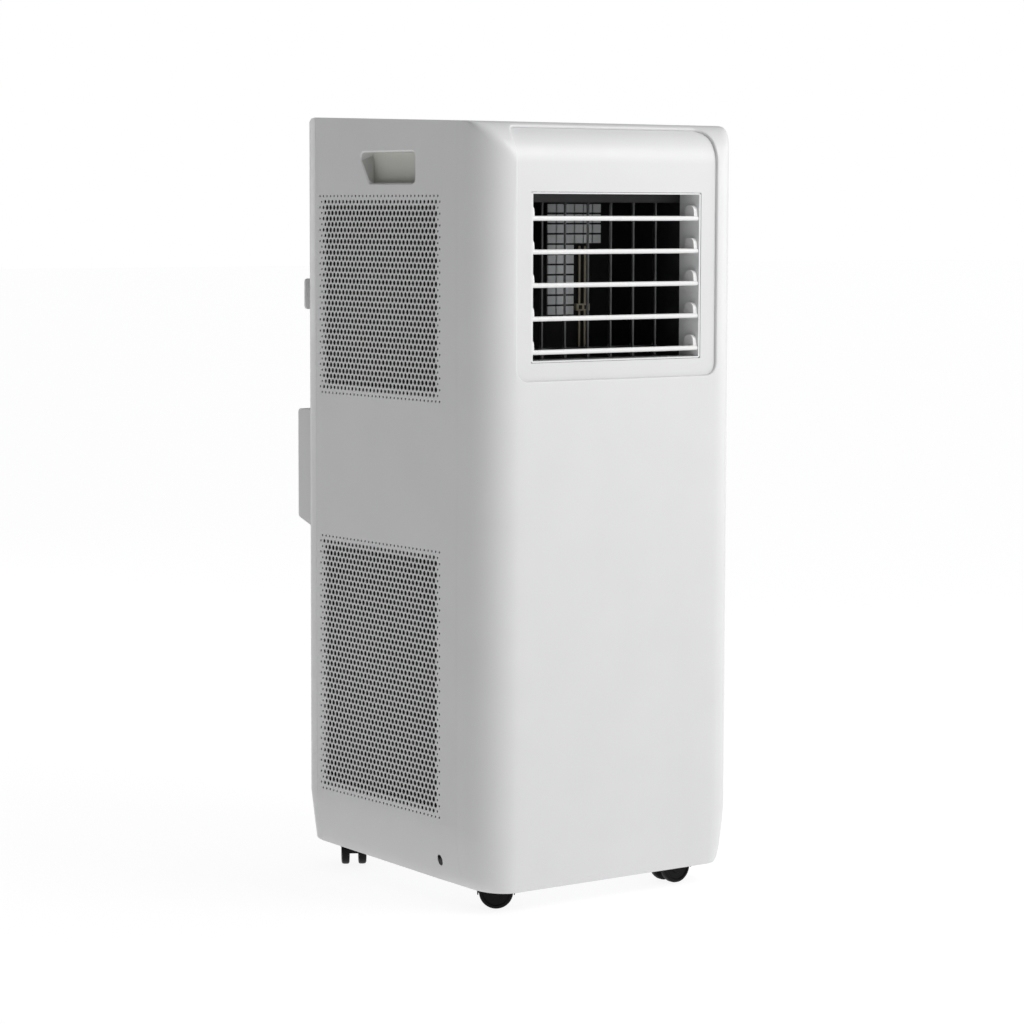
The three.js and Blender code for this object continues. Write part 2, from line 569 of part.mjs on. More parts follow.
// ---------------------------------------------------------------- cooling circuit
// A finned coil standing on its own origin: fins between two end plates, and return bends past its right end.
function coil(length, depth, height, bends) {
  const fins = box(0, length, 1.5, depth - 1.5, 2, height - 2);
  const plates = [box(0, 1.6, 0, depth, 0, height), box(length - 1.6, length, 0, depth, 0, height)];
  const pitch = height / (bends + 0.5);
  const loops = Array.from({ length: bends }, (_, k) => {
    const low = pitch * (k + 0.5);
    const [x, y] = [length - 1, depth / 2];
    return pipe([
      [x, y, low], [x + 6, y, low + 2], [x + 9, y, low + pitch / 4],
      [x + 6, y, low + pitch / 2 - 2], [x, y, low + pitch / 2],
    ], 3, 6, 5);
  });
  return join(fins, ...plates, ...loops);
}

function coolingCircuit() {
  const evaporator = place('evaporator', coil(258, 26, 258, 3), MATERIAL.fins, machine);
  evaporator.position.set(24, 272, 470);
  const condenser = place('condenser', coil(220, 26, 296, 3), MATERIAL.fins, machine);
  condenser.position.set(42, 62, 36);
  condenser.rotation.z = Math.PI / 2;
}

const COMPRESSOR = { x: 235, y: 105, radius: 54, foot: 31, top: 233, footReach: 62 };

function turned(profile, x, y, sides) {
  const points = profile.map(([r, z]) => new THREE.Vector2(r, z));
  return solid(new THREE.LatheGeometry(points, sides).rotateX(Math.PI / 2).translate(x, y, 0));
}

function compressor() {
  const { x, y, radius, foot, top, footReach } = COMPRESSOR;
  const can = turned([[0, foot + 2], [radius - 12, foot + 2], [radius, foot + 14], [radius, top - 30],
    [radius - 10, top - 10], [20, top - 2], [0, top]], x, y, 16);
  const bore = radius - 9;
  const chamber = turned([[0, foot + 20], [bore, foot + 20], [bore, top - 70], [0, top - 70]], x, y, 12);
  const port = bar('z', top - 75, top + 9, x, y, 3, 6);
  const corners = [90, 210, 330].map((degrees) => {
    const angle = THREE.MathUtils.degToRad(degrees);
    return [x + footReach * Math.cos(angle), y + footReach * Math.sin(angle)];
  });
  const feet = slab(outline(corners.map(([a, b]) => [a + (a - x) * 0.35, b + (b - y) * 0.35, 12]), 3),
    'z', foot, foot + 3);
  const grommets = corners.map(([a, b]) => bar('z', PAN.floor + PAN.thickness + FIT, foot + 7, a, b, 8, 8));
  const [ax, ay] = [x + 8, y + 81];
  const accumulator = turned([[0, 70], [12, 70], [20, 78], [20, 178], [12, 186], [0, 186]], ax, ay, 8);
  const bracket = box(ax - 14, ax - 2, y + radius - 6, ay - 12, 120, 134);
  const neck = pipe([[ax, ay, 74], [ax, ay - 2, 58], [ax - 2, ay - 16, 52], [ax - 6, y + 48, 56]], 4, 5, 5);
  return join(cut(can, chamber, port), feet, ...grommets, accumulator, bracket, neck);
}

function pipework() {
  const { x, y, top } = COMPRESSOR;
  place('compressor', compressor(), MATERIAL.enamel, machine);
  const discharge = [
    [x, y, top + 0.5], [x, y, top + 22], [x - 26, y - 26, top + 48], [124, 50, 296],
    [60, 42, 306], [34, 42, 314], [29, 50, 316], [29, 61, 316],
  ];
  place('discharge_pipe', pipe(discharge, 3.5, 24, 6), MATERIAL.copper, machine);
  const suction = [[x + 8, y + 81, 186.5], [x + 8, y + 81, 192], [x + 26, y + 100, 196], [305, 215, 206],
    [306, 218, 240], [306, 218, 400], [306, 222, 446], [306, 262, 474], [304, 281, 484], [296, 285, 487],
    [283.4, 285, 487]];
  place('suction_pipe', pipe(suction, 3.5, 28, 6), MATERIAL.copper, machine);
}

function dripTray() {
  const [deck, riser, trough, wall] = [343, 216, 459, 2.6];
  const profile = [[44, deck], [riser + wall, deck], [riser + wall, trough], [302, trough], [302, trough + 9],
    [302 - wall, trough + 9], [302 - wall, trough + wall], [riser, trough + wall], [riser, deck + wall],
    [44, deck + wall]];
  const tray = slab(profile.map(([a, b]) => new THREE.Vector2(a, b)), 'x', 9, 298);
  const ends = [[9, 11.6], [295.4, 298]].map(([a, b]) => box(a, b, riser, 302, trough, trough + 9));
  return cut(join(tray, ...ends), bar('z', trough - 9, trough + 9, 286, 262, 5, 8));
}

function exhaustOutline(grow) {
  const { openHalf, openBottom, openTop } = EXHAUST;
  const [x0, x1] = [CENTRE - openHalf - grow, CENTRE + openHalf + grow];
  return rectangle(x0, x1, openBottom - grow, openTop + grow, 14 + grow);
}

function exhaustDuct() {
  const { left, right } = LOWER_FAN;
  const [x0, x1, y0, y1] = [58, 262, 221, DEPTH - WALL - FIT];
  const [z0, z1, wall] = [EXHAUST.bottom - 1, EXHAUST.top, 2.2];
  const inside = box(x0 + wall, x1 - wall, y0 + wall, y1 + 9, z0 + wall, z1 - wall);
  const inlet = box(left + 2.4, right - 2.4, LOWER_FAN.y + 48.4, LOWER_FAN.y + 101.6, z0 - 9, z0 + 9);
  return cut(box(x0, x1, y0, y1, z0, z1), inside, inlet);
}

// The housing on the back that the exhaust hose's adaptor clips onto: its underside slopes up as it leaves
// the casing, it is hollow behind, and a few bars guard its mouth.
function exhaustCollar() {
  const { left, right, bottom, top } = EXHAUST;
  const end = DEPTH + EXHAUST_STAND_OFF;
  const wall = 2.6;
  const profile = (inset) => outline([
    [300, bottom - 23 + inset, 0], [end - inset, bottom + inset, inset ? 0 : 4],
    [end - inset, top - inset, inset ? 0 : 4], [300, top - inset, 0],
  ], 3);
  const housing = slab(profile(0), 'x', left, right);
  const hollow = slab(profile(wall), 'x', left + wall, right - wall);
  const tube = slab(outline(exhaustOutline(wall), 3), 'y', 300, end);
  const opening = slab(outline(exhaustOutline(0), 3), 'y', 290, end + 9);
  const { openBottom, openTop } = EXHAUST;
  const bars = [-64, -32, 0, 32, 64].map((x) =>
    box(CENTRE + x - 1.5, CENTRE + x + 1.5, DEPTH + 6, DEPTH + 10, openBottom - 1, openTop + 1));
  return cut(join(cut(housing, cut(hollow, tube), opening), ...bars), AROUND);
}

// ---------------------------------------------------------------- back and base
function filterCover() {
  const { left, right, bottom, top } = FILTER_COVER;
  const [y0, y1] = [DEPTH + FIT, DEPTH + 3.4];
  const plate = slab(outline(rectangle(left, right, bottom, top, 5), 2), 'y', y0, y1);
  const rim = cut(
    slab(outline(rectangle(left + 6.6, right - 6.6, bottom + 6.6, top - 6.6, 3), 2), 'y', DEPTH - 8, y1),
    slab(outline(rectangle(left + 9, right - 9, bottom + 9, top - 9, 2), 2), 'y', DEPTH - 20, y0 + 0.6),
  );
  const grip = box(CENTRE - 22, CENTRE + 22, y1 - 1, y1 + 5, top - 22, top - 18);
  const windows = slots('y', DEPTH - 9, DEPTH + 9, left + 14, right - 14, bottom + 12, top - 28);
  return join(cut(join(plate, rim), ...windows), grip);
}

function cordHook(side) {
  const mirror = side === 'left' ? (x) => x : (x) => WIDTH - x;
  const span = (a, b) => [mirror(a), mirror(b)].sort((p, q) => p - q);
  const arm = box(...span(24, 34), 322, 351, 571, 584);
  const lip = slab(outline(rectangle(...span(20, 38), 561.5, 593.5, 3), 2), 'y', 349.6, 352.8);
  return cut(join(arm, lip), AROUND);
}

function cordGland() {
  const flange = bar('y', DEPTH + FIT, DEPTH + 3, 262, 120, 13, 16);
  const body = bar('y', DEPTH - 9, DEPTH + 2, 262, 120, 9, 16);
  return cut(join(flange, body), bar('y', DEPTH - 20, DEPTH + 20, 262, 120, 4, 10));
}

function drainPlug() {
  const flange = bar('y', DEPTH + FIT, DEPTH + 3.5, 60, 56, 13, 16);
  const body = bar('y', DEPTH - 14, DEPTH + 2, 60, 56, 7.8, 12);
  return join(flange, body, box(51, 69, DEPTH + 2, DEPTH + 11, 54, 58));
}

// The filter frame behind both windows of a side panel, with its mesh as a thin sheet.
function sideFilter(side) {
  const [outside, inside] = [WALL + 0.8, WALL + 4.4];
  const span = (a, b) => (side === 'left' ? [a, b] : [WIDTH - b, WIDTH - a]);
  const frame = box(...span(outside, inside), 72, 298, 56, 688);
  const windows = [GRILLE.upper, GRILLE.lower].map(([z0, z1]) =>
    box(...span(outside - 1, inside + 1), GRILLE.front, GRILLE.rear, z0, z1));
  return join(cut(frame, ...windows), box(...span(outside + 1.2, outside + 2), 76, 294, 60, 684));
}

function electricalBox() {
  const [x0, x1, y0, y1, z0, z1] = [214, 300, 234, 318, 196, 332];
  const inside = box(x0 + 2, x1 - 2, y0 + 2, y1 - 2, z0 + 2, z1 - 2);
  const rim = box(x0 - 3, x1 + 3, y0 + 8, y0 + 11, z0 - 3, z1 + 3);
  const entry = box(x0 + 10, x0 + 34, y1 - 20, y1 - 8, z0 - 9, z0 + 9);
  return cut(join(box(x0, x1, y0, y1, z0, z1), rim), inside, entry);
}

function basePan() {
  const { floor, thickness, rim, inset } = PAN;
  const plan = (d) => outline(rectangle(d, WIDTH - d, d, DEPTH - d, CORNER - d), 4);
  const hollow = slab(plan(inset + 2.4), 'z', floor + thickness, rim + 9);
  const tray = cut(slab(plan(inset), 'z', floor, rim), hollow);
  const rib = (x0, x1, y0, y1) => box(x0, x1, y0, y1, floor - 8, floor + 1);
  const ribs = [
    rib(CENTRE - 1.5, CENTRE + 1.5, 60, DEPTH - 60),
    rib(90, WIDTH - 90, DEPTH / 2 - 1.5, DEPTH / 2 + 1.5),
  ];
  const bearings = casterSpots().map(([x, y]) => bar('z', floor - 9, floor + 12, x, y, CASTER.hole, 10));
  return cut(join(tray, ...ribs), ...bearings);
}

// ---------------------------------------------------------------- casters
const casterSpots = () => [[50, 40], [WIDTH - 50, 40], [44, DEPTH - 41], [WIDTH - 44, DEPTH - 41]];
const CASTER_NAMES = ['front_left', 'front_right', 'rear_left', 'rear_right'];
const CASTER_HEADINGS = [-37, 0, -122, -60]; // degrees that each swivel is turned at rest

// The swivelling hood, its stem upright through the origin and its axle behind it along Y.
function casterHood() {
  const { wheel, trail, hood: reach, inner, outer, stem } = CASTER;
  const axleZ = FLOOR + wheel;
  const arc = (radius, from, to, steps) => Array.from({ length: steps + 1 }, (_, k) => {
    const angle = from + ((to - from) * k) / steps;
    return new THREE.Vector2(-trail + radius * Math.cos(angle), axleZ + radius * Math.sin(angle));
  });
  const [start, end] = [THREE.MathUtils.degToRad(-8), THREE.MathUtils.degToRad(188)];
  const shellPoints = [...arc(reach, start, end, 8), ...arc(wheel + 0.7, end, start, 8)];
  const cover = slab(shellPoints, 'y', -outer - 0.3, outer + 0.3);
  const web = slab(arc(reach - 0.8, start, end, 6), 'y', FIT * 2 - inner, inner - FIT * 2);
  const plate = bar('z', axleZ + wheel, PAN.floor - FIT, 0, 0, 13, 12);
  const post = bar('z', axleZ + wheel, PAN.floor + 10, 0, 0, stem, 8);
  const boss = bar('y', FIT * 2 - inner, inner - FIT * 2, -trail, axleZ, 6, 10);
  return cut(join(cover, web, plate, post, boss), bar('y', -9, 9, -trail, axleZ, 3, 8));
}

function casterWheel() {
  const { wheel, trail, inner, outer } = CASTER;
  const axleZ = FLOOR + wheel;
  const discs = [[-outer, -inner], [inner, outer]].map(([a, b]) => bar('y', a, b, -trail, axleZ, wheel, 16));
  return join(...discs, bar('y', -inner - 1, inner + 1, -trail, axleZ, 2.5, 6));
}

function casters() {
  casterSpots().forEach(([x, y], k) => {
    const spot = new THREE.Group();
    spot.position.set(x, y, 0);
    spot.rotation.z = THREE.MathUtils.degToRad(CASTER_HEADINGS[k]);
    machine.add(spot);
    place(`caster_${CASTER_NAMES[k]}`, casterHood(), MATERIAL.caster, spot);
    place(`wheel_${CASTER_NAMES[k]}`, casterWheel(), MATERIAL.caster, spot);
  });
}

// ---------------------------------------------------------------- assembly
place('front_panel', frontPanel(), MATERIAL.casing, machine);
place('outlet_bezel', outletBezel(), MATERIAL.casing, machine);
place('rear_panel', rearPanel(), MATERIAL.casing, machine);
place('top_cover', topCover(), MATERIAL.casing, machine);
place('base_pan', basePan(), MATERIAL.casing, machine);
for (const side of ['left', 'right']) {
  place(`${side}_side_panel`, sidePanel(side), MATERIAL.casing, machine);
  place(`${side}_filter`, sideFilter(side), MATERIAL.filter, machine);
  place(`cord_hook_${side}`, cordHook(side), MATERIAL.casing, machine);
}
controls();
louvers();
vanes();
upperFan();
lowerFan();
coolingCircuit();
pipework();
place('drip_tray', dripTray(), MATERIAL.panel, machine);
place('exhaust_duct', exhaustDuct(), MATERIAL.panel, machine);
place('exhaust_collar', exhaustCollar(), MATERIAL.casing, machine);
place('rear_filter_cover', filterCover(), MATERIAL.casing, machine);
place('cord_gland', cordGland(), MATERIAL.rubber, machine);
place('drain_plug', drainPlug(), MATERIAL.rubber, machine);
place('electrical_box', electricalBox(), MATERIAL.steel, machine);
casters();

export default product;
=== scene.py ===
"""Looks for a portable air conditioner on casters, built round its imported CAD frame.

Lengths written in millimetres are in the casing's own coordinates: x from the left side plane to the
right, y from the front plane back, z up from the front bottom edge. `at` turns them into the frame's metres.
"""
import json
import math

import bpy
import bmesh
from mathutils import Matrix, Vector
from mathutils.geometry import tessellate_polygon


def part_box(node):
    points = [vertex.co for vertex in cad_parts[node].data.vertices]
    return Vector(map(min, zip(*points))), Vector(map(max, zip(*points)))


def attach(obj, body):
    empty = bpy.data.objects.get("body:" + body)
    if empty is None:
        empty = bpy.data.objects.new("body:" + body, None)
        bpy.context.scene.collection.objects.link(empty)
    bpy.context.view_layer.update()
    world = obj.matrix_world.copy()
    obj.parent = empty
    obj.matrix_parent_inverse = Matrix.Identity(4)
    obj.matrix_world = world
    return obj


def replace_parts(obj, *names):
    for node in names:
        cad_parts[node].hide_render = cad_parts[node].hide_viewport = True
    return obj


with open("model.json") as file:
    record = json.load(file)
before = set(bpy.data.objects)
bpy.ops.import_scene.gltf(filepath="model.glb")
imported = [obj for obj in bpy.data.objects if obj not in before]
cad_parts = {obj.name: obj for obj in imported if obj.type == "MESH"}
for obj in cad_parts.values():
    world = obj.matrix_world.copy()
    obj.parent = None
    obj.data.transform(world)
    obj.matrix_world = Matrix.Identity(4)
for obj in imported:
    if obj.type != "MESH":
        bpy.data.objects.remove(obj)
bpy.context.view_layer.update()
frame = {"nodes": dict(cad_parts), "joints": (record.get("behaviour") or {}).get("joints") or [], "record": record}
NODES = frame["nodes"]
JOINTS = {joint["name"]: joint for joint in frame["joints"]}

# ---------------------------------------------------------------- the casing's coordinates
MM = 0.001
LOW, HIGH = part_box("front_panel")
FLOOR_GAP = 22  # mm from the floor up to the front bottom edge
WIDTH = round((HIGH.x - LOW.x) / MM)
WALL = 2.8
RAKE = 0.031  # rise of the top and bottom edges towards the rear
HEIGHT = 749.8
CORNER = 38
BROW = 40
FRONT_SEAM = 52
REAR_SEAM = 300
SEAM = 0.12


def at(x, y, z):
    return Vector((LOW.x + x * MM, LOW.y + y * MM, (z + FLOOR_GAP) * MM))


def top_at(y):
    return HEIGHT + RAKE * y


# ---------------------------------------------------------------- camera, lights and floor
CAMERA_PLACE = (-1.9971, -2.6823, 0.6888)
CAMERA_YAW, CAMERA_TILT, CAMERA_ROLL = (math.radians(a) for a in (36.75, 5.347, 0.157))
CAMERA_LENS = 113.97


def make_camera():
    data = bpy.data.cameras.new("camera")
    data.lens = CAMERA_LENS
    data.sensor_width = 36
    data.clip_end = 200
    camera = bpy.data.objects.new("camera", data)
    bpy.context.scene.collection.objects.link(camera)
    flat, drop = math.cos(CAMERA_TILT), math.sin(CAMERA_TILT)
    ahead = Vector((math.sin(CAMERA_YAW) * flat, math.cos(CAMERA_YAW) * flat, -drop))
    level = Vector((math.cos(CAMERA_YAW), -math.sin(CAMERA_YAW), 0))
    up = level.cross(ahead)
    right = math.cos(CAMERA_ROLL) * level + math.sin(CAMERA_ROLL) * up
    up = right.cross(ahead)
    turn = Matrix((right, up, -ahead)).transposed().to_4x4()
    camera.matrix_world = Matrix.Translation(CAMERA_PLACE) @ turn
    bpy.context.scene.camera = camera


def make_world():
    """White all round for the eye, and for light a soft sky that is brightest in front and above."""
    world = bpy.data.worlds.new("studio")
    bpy.context.scene.world = world
    world.use_nodes = True
    tree = world.node_tree
    tree.nodes.clear()
    add, link = tree.nodes.new, tree.links.new
    output = add("ShaderNodeOutputWorld")
    place = add("ShaderNodeTexCoord")
    toward = add("ShaderNodeVectorMath")
    toward.operation = "DOT_PRODUCT"
    toward.inputs[1].default_value = Vector((0.72, -0.62, 0.42)).normalized()
    ramp = add("ShaderNodeMapRange")
    ramp.inputs["From Min"].default_value = -0.35
    ramp.inputs["From Max"].default_value = 0.95
    ramp.inputs["To Min"].default_value = 0.0
    ramp.inputs["To Max"].default_value = 0.88
    light = add("ShaderNodeBackground")
    sight = add("ShaderNodeBackground")
    ray = add("ShaderNodeLightPath")
    mix = add("ShaderNodeMixShader")
    link(place.outputs["Generated"], toward.inputs[0])
    link(toward.outputs["Value"], ramp.inputs["Value"])
    link(ramp.outputs["Result"], light.inputs["Strength"])
    link(ray.outputs["Is Camera Ray"], mix.inputs[0])
    link(light.outputs[0], mix.inputs[1])
    link(sight.outputs[0], mix.inputs[2])
    link(mix.outputs[0], output.inputs["Surface"])
    light.inputs["Color"].default_value = (0.975, 0.985, 1, 1)
    sight.inputs["Color"].default_value = (1, 1, 1, 1)


def make_lights():
    lamps = (
        ("key", (0.7, -1.35, 1.45), 0.9, 13),
        ("wing", (2.6, -0.5, 0.9), 1.2, 5),
        ("rim", (-0.35, 3.2, 1.0), 1.2, 9),
    )
    for name, place, size, watts in lamps:
        data = bpy.data.lights.new(name, "AREA")
        data.energy = watts
        data.size = size
        data.color = (1, 0.992, 0.975) if name == "key" else (1, 1, 1)
        lamp = bpy.data.objects.new(name, data)
        bpy.context.scene.collection.objects.link(lamp)
        lamp.location = place
        lamp.rotation_euler = (Vector((0, 0, 0.4)) - Vector(place)).to_track_quat("-Z", "Y").to_euler()


# ---------------------------------------------------------------- materials
class Shader:
    """A Principled material with helpers for the procedural detail on it."""

    def __init__(self, name, colour, roughness, metallic=0.0):
        self.material = bpy.data.materials.new(name)
        self.material.use_nodes = True
        self.tree = self.material.node_tree
        self.surface = self.tree.nodes["Principled BSDF"]
        self.surface.inputs["Base Color"].default_value = (*colour, 1)
        self.surface.inputs["Roughness"].default_value = roughness
        self.surface.inputs["Metallic"].default_value = metallic
        self.colour = colour
        self.roughness = roughness
        self.place = self.node("ShaderNodeTexCoord").outputs["Object"]

    def node(self, kind, **inputs):
        made = self.tree.nodes.new(kind)
        for key, value in inputs.items():
            made.inputs[key.replace("_", " ")].default_value = value
        return made

    def link(self, output, target):
        self.tree.links.new(output, target)

    def noise(self, size_mm, detail, stretch=(1, 1, 1)):
        """Cloudy values of about that size, from 0 to 1."""
        moved = self.node("ShaderNodeMapping")
        moved.inputs["Scale"].default_value = stretch
        made = self.node("ShaderNodeTexNoise", Scale=1000 / size_mm, Detail=detail)
        self.link(self.place, moved.inputs["Vector"])
        self.link(moved.outputs["Vector"], made.inputs["Vector"])
        return made.outputs["Fac"]

    def bands(self, axis, pitch_mm):
        made = self.node("ShaderNodeTexWave", Scale=1000 / pitch_mm / (2 * math.pi) * 0.314)
        made.wave_type = "BANDS"
        made.bands_direction = axis
        self.link(self.place, made.inputs["Vector"])
        return made.outputs["Fac"]

    def span(self, value, low, high, start=0.3, end=0.7):
        made = self.node("ShaderNodeMapRange")
        for key, number in (("From Min", start), ("From Max", end), ("To Min", low), ("To Max", high)):
            made.inputs[key].default_value = number
        self.link(value, made.inputs["Value"])
        return made.outputs["Result"]

    def tint(self, value, dark, light):
        """Colour from one shade to another by a value from 0 to 1."""
        made = self.node("ShaderNodeMix")
        made.data_type = "RGBA"
        made.inputs[6].default_value = (*dark, 1)
        made.inputs[7].default_value = (*light, 1)
        self.link(value, made.inputs[0])
        self.link(made.outputs[2], self.surface.inputs["Base Color"])

    def shade(self, value, spread):
        """Slight lights and darks of the base colour."""
        dark = tuple(c * (1 - spread) for c in self.colour)
        light = tuple(min(1.0, c * (1 + spread)) for c in self.colour)
        self.tint(self.span(value, 0, 1), dark, light)

    def polish(self, value, spread):
        varied = self.span(value, self.roughness - spread, self.roughness + spread)
        self.link(varied, self.surface.inputs["Roughness"])

    def relief(self, value, height_mm, strength=1.0):
        made = self.node("ShaderNodeBump", Strength=strength, Distance=height_mm * MM)
        self.link(value, made.inputs["Height"])
        previous = self.surface.inputs["Normal"].links
        if previous:
            self.link(previous[0].from_socket, made.inputs["Normal"])
        self.link(made.outputs["Normal"], self.surface.inputs["Normal"])


def moulded(name, colour, roughness, grain_mm=0.5, depth_mm=0.006, shade=0.012):
    """Injection-moulded plastic: fine spark-eroded grain, slow sink and flow variation, uneven polish."""
    shader = Shader(name, colour, roughness)
    shader.shade(shader.noise(60, 3), shade)
    shader.polish(shader.noise(18, 2), 0.04)
    shader.relief(shader.noise(grain_mm, 2), depth_mm)
    shader.relief(shader.noise(45, 1), 0.05, 0.25)
    return shader.material


def brushed(name, colour, roughness, metallic, stretch):
    shader = Shader(name, colour, roughness, metallic)
    shader.shade(shader.noise(4, 3, stretch), 0.08)
    shader.polish(shader.noise(2.5, 3, stretch), 0.1)
    shader.relief(shader.noise(0.6, 2, stretch), 0.01)
    return shader.material


def make_materials():
    white = moulded("white_casing", (0.67, 0.67, 0.674), 0.38)
    made = {
        "casing": white,
        "louver": moulded("white_louver", (0.76, 0.76, 0.755), 0.3, 0.4),
        "frame": moulded("grey_frame", (0.72, 0.725, 0.73), 0.42),
        "pan": moulded("grey_pan", (0.30, 0.31, 0.32), 0.55, 0.7, 0.01, 0.04),
        "vane": moulded("dark_vane", (0.105, 0.107, 0.11), 0.4, 0.5, 0.006, 0.05),
        "duct": moulded("black_duct", (0.011, 0.011, 0.0115), 0.55, 0.6, 0.01, 0.1),
        "panel": moulded("pale_panel", (0.62, 0.63, 0.64), 0.3, 0.4, 0.004),
        "button": moulded("grey_button", (0.36, 0.37, 0.38), 0.4, 0.4, 0.005, 0.03),
        "rubber": moulded("black_rubber", (0.02, 0.02, 0.02), 0.75, 0.9, 0.02, 0.15),
        "caster": moulded("black_nylon", (0.0045, 0.0045, 0.005), 0.45, 0.6, 0.012, 0.2),
        "enamel": moulded("black_enamel", (0.015, 0.015, 0.017), 0.35, 1.2, 0.02, 0.1),
        "steel": brushed("zinc_sheet", (0.52, 0.53, 0.55), 0.4, 0.9, (1, 1, 0.1)),
        "copper": brushed("copper_tube", (0.72, 0.38, 0.24), 0.3, 1.0, (1, 1, 0.3)),
    }
    # pale tiles for the outlet guard: painted light, the backlight that shows through the far side's holes
    made["tile"] = moulded("guard_tile_painted_light", (0.85, 0.87, 0.88), 0.5)
    made["lead"] = moulded("sensor_lead", (0.42, 0.38, 0.27), 0.5)
    # the hand pocket's inside: a darker grey, painted shade of the recess
    made["pocket"] = moulded("pocket_painted_shade", (0.56, 0.56, 0.525), 0.5)
    # the pocket's rear wall: a darker grey again, painted shadow
    made["pocket_rear_painted_shadow"] = moulded("pocket_rear_painted_shadow", (0.52, 0.52, 0.51), 0.55)
    foam = Shader("ribbed_moulding", (0.46, 0.47, 0.48), 0.6)
    foam.shade(foam.noise(5, 3), 0.06)
    foam.relief(foam.noise(1.6, 3), 0.12)
    made["foam"] = foam.material
    mesh = Shader("filter_mesh", (0.017, 0.017, 0.014), 0.8)
    mesh.shade(mesh.bands("Z", 1.4), 0.5)
    mesh.relief(mesh.bands("Y", 1.4), 0.25)
    mesh.relief(mesh.bands("Z", 1.4), 0.25)
    made["filter"] = mesh.material
    fins = Shader("coil_fins", (0.60, 0.62, 0.64), 0.35, 0.85)
    fins.shade(fins.bands("X", 1.8), 0.45)
    fins.polish(fins.noise(8, 3), 0.1)
    fins.relief(fins.bands("X", 1.8), 0.4)
    fins.relief(fins.bands("Y", 1.8), 0.4)
    made["fins"] = fins.material
    glass = Shader("smoked_window", (0.01, 0.01, 0.012), 0.08)
    glass.polish(glass.noise(6, 2), 0.03)
    glass.shade(glass.noise(9, 2), 0.3)
    made["display"] = glass.material
    made["caster"].node_tree.nodes["Principled BSDF"].inputs["Specular IOR Level"].default_value = 0.12
    return made


# ---------------------------------------------------------------- building meshes
def piece(name, points, faces, material, body, slot, smooth_angle=30, scale=at):
    """A mesh object from points in casing millimetres, riding on a body."""
    mesh = bpy.data.meshes.new(name)
    mesh.from_pydata([scale(*p) for p in points], [], faces)
    build = bmesh.new()
    build.from_mesh(mesh)
    bmesh.ops.remove_doubles(build, verts=build.verts, dist=0.00002)
    bmesh.ops.recalc_face_normals(build, faces=build.faces)
    build.to_mesh(mesh)
    build.free()
    mesh.materials.append(material)
    made = bpy.data.objects.new(name, mesh)
    bpy.context.scene.collection.objects.link(made)
    soften(made, smooth_angle)
    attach(made, body)
    return made


def soften(obj, degrees):
    """Smooth shading, but for edges sharper than the angle."""
    mesh = obj.data
    mesh.polygons.foreach_set("use_smooth", [True] * len(mesh.polygons))
    mesh.set_sharp_from_angle(angle=math.radians(degrees))


def bevel(obj, width_mm, segments=2, degrees=35):
    made = obj.modifiers.new("edges", "BEVEL")
    made.width = width_mm * MM
    made.segments = segments
    made.limit_method = "ANGLE"
    made.angle_limit = math.radians(degrees)
    made.harden_normals = True
    made.use_clamp_overlap = True


def finish_cad(name, material, width_mm):
    """A CAD node with its facets joined, its edges broken and its faces shaded smooth."""
    obj = NODES[name]
    obj.data.materials.clear()
    obj.data.materials.append(material)
    obj.data.polygons.foreach_set("use_smooth", [True] * len(obj.data.polygons))
    weld = obj.modifiers.new("weld", "WELD")
    weld.merge_threshold = 0.02 * MM
    flat = obj.modifiers.new("flat", "DECIMATE")
    flat.decimate_type = "DISSOLVE"
    flat.angle_limit = math.radians(0.6)
    if width_mm:
        bevel(obj, width_mm)
    normals = obj.modifiers.new("normals", "WEIGHTED_NORMAL")
    normals.keep_sharp = True
    normals.weight = 80


def arc(cx, cy, radius, start, end, steps):
    """Points on an arc, by angles in degrees."""
    angles = [math.radians(start + (end - start) * k / steps) for k in range(steps + 1)]
    return [(cx + radius * math.cos(a), cy + radius * math.sin(a)) for a in angles]


def circle(cx, cy, radius, sides):
    return arc(cx, cy, radius, 0, 360 - 360 / sides, sides - 1)


def rounded(corners, steps=6):
    """An outline of (x, y, radius) corners as points."""
    points = []
    for i, (x, y, radius) in enumerate(corners):
        corner = Vector((x, y))
        if not radius:
            points.append((x, y))
            continue
        back = (Vector(corners[i - 1][:2]) - corner).normalized()
        ahead = (Vector(corners[(i + 1) % len(corners)][:2]) - corner).normalized()
        half = math.acos(max(-1, min(1, back.dot(ahead)))) / 2
        middle = corner + (back + ahead).normalized() * (radius / math.sin(half))
        start = corner + back * (radius / math.tan(half)) - middle
        end = corner + ahead * (radius / math.tan(half)) - middle
        sweep = math.atan2(start.x * end.y - start.y * end.x, start.dot(end))
        for k in range(steps + 1):
            turned = Matrix.Rotation(sweep * k / steps, 2) @ start + middle
            points.append((turned.x, turned.y))
    return points


# An outline's (a, b) and the distance c along an axis, as (x, y, z).
PLACES = {
    "x": lambda a, b, c: (c, a, b),
    "y": lambda a, b, c: (a, c, b),
    "z": lambda a, b, c: (a, b, c),
}


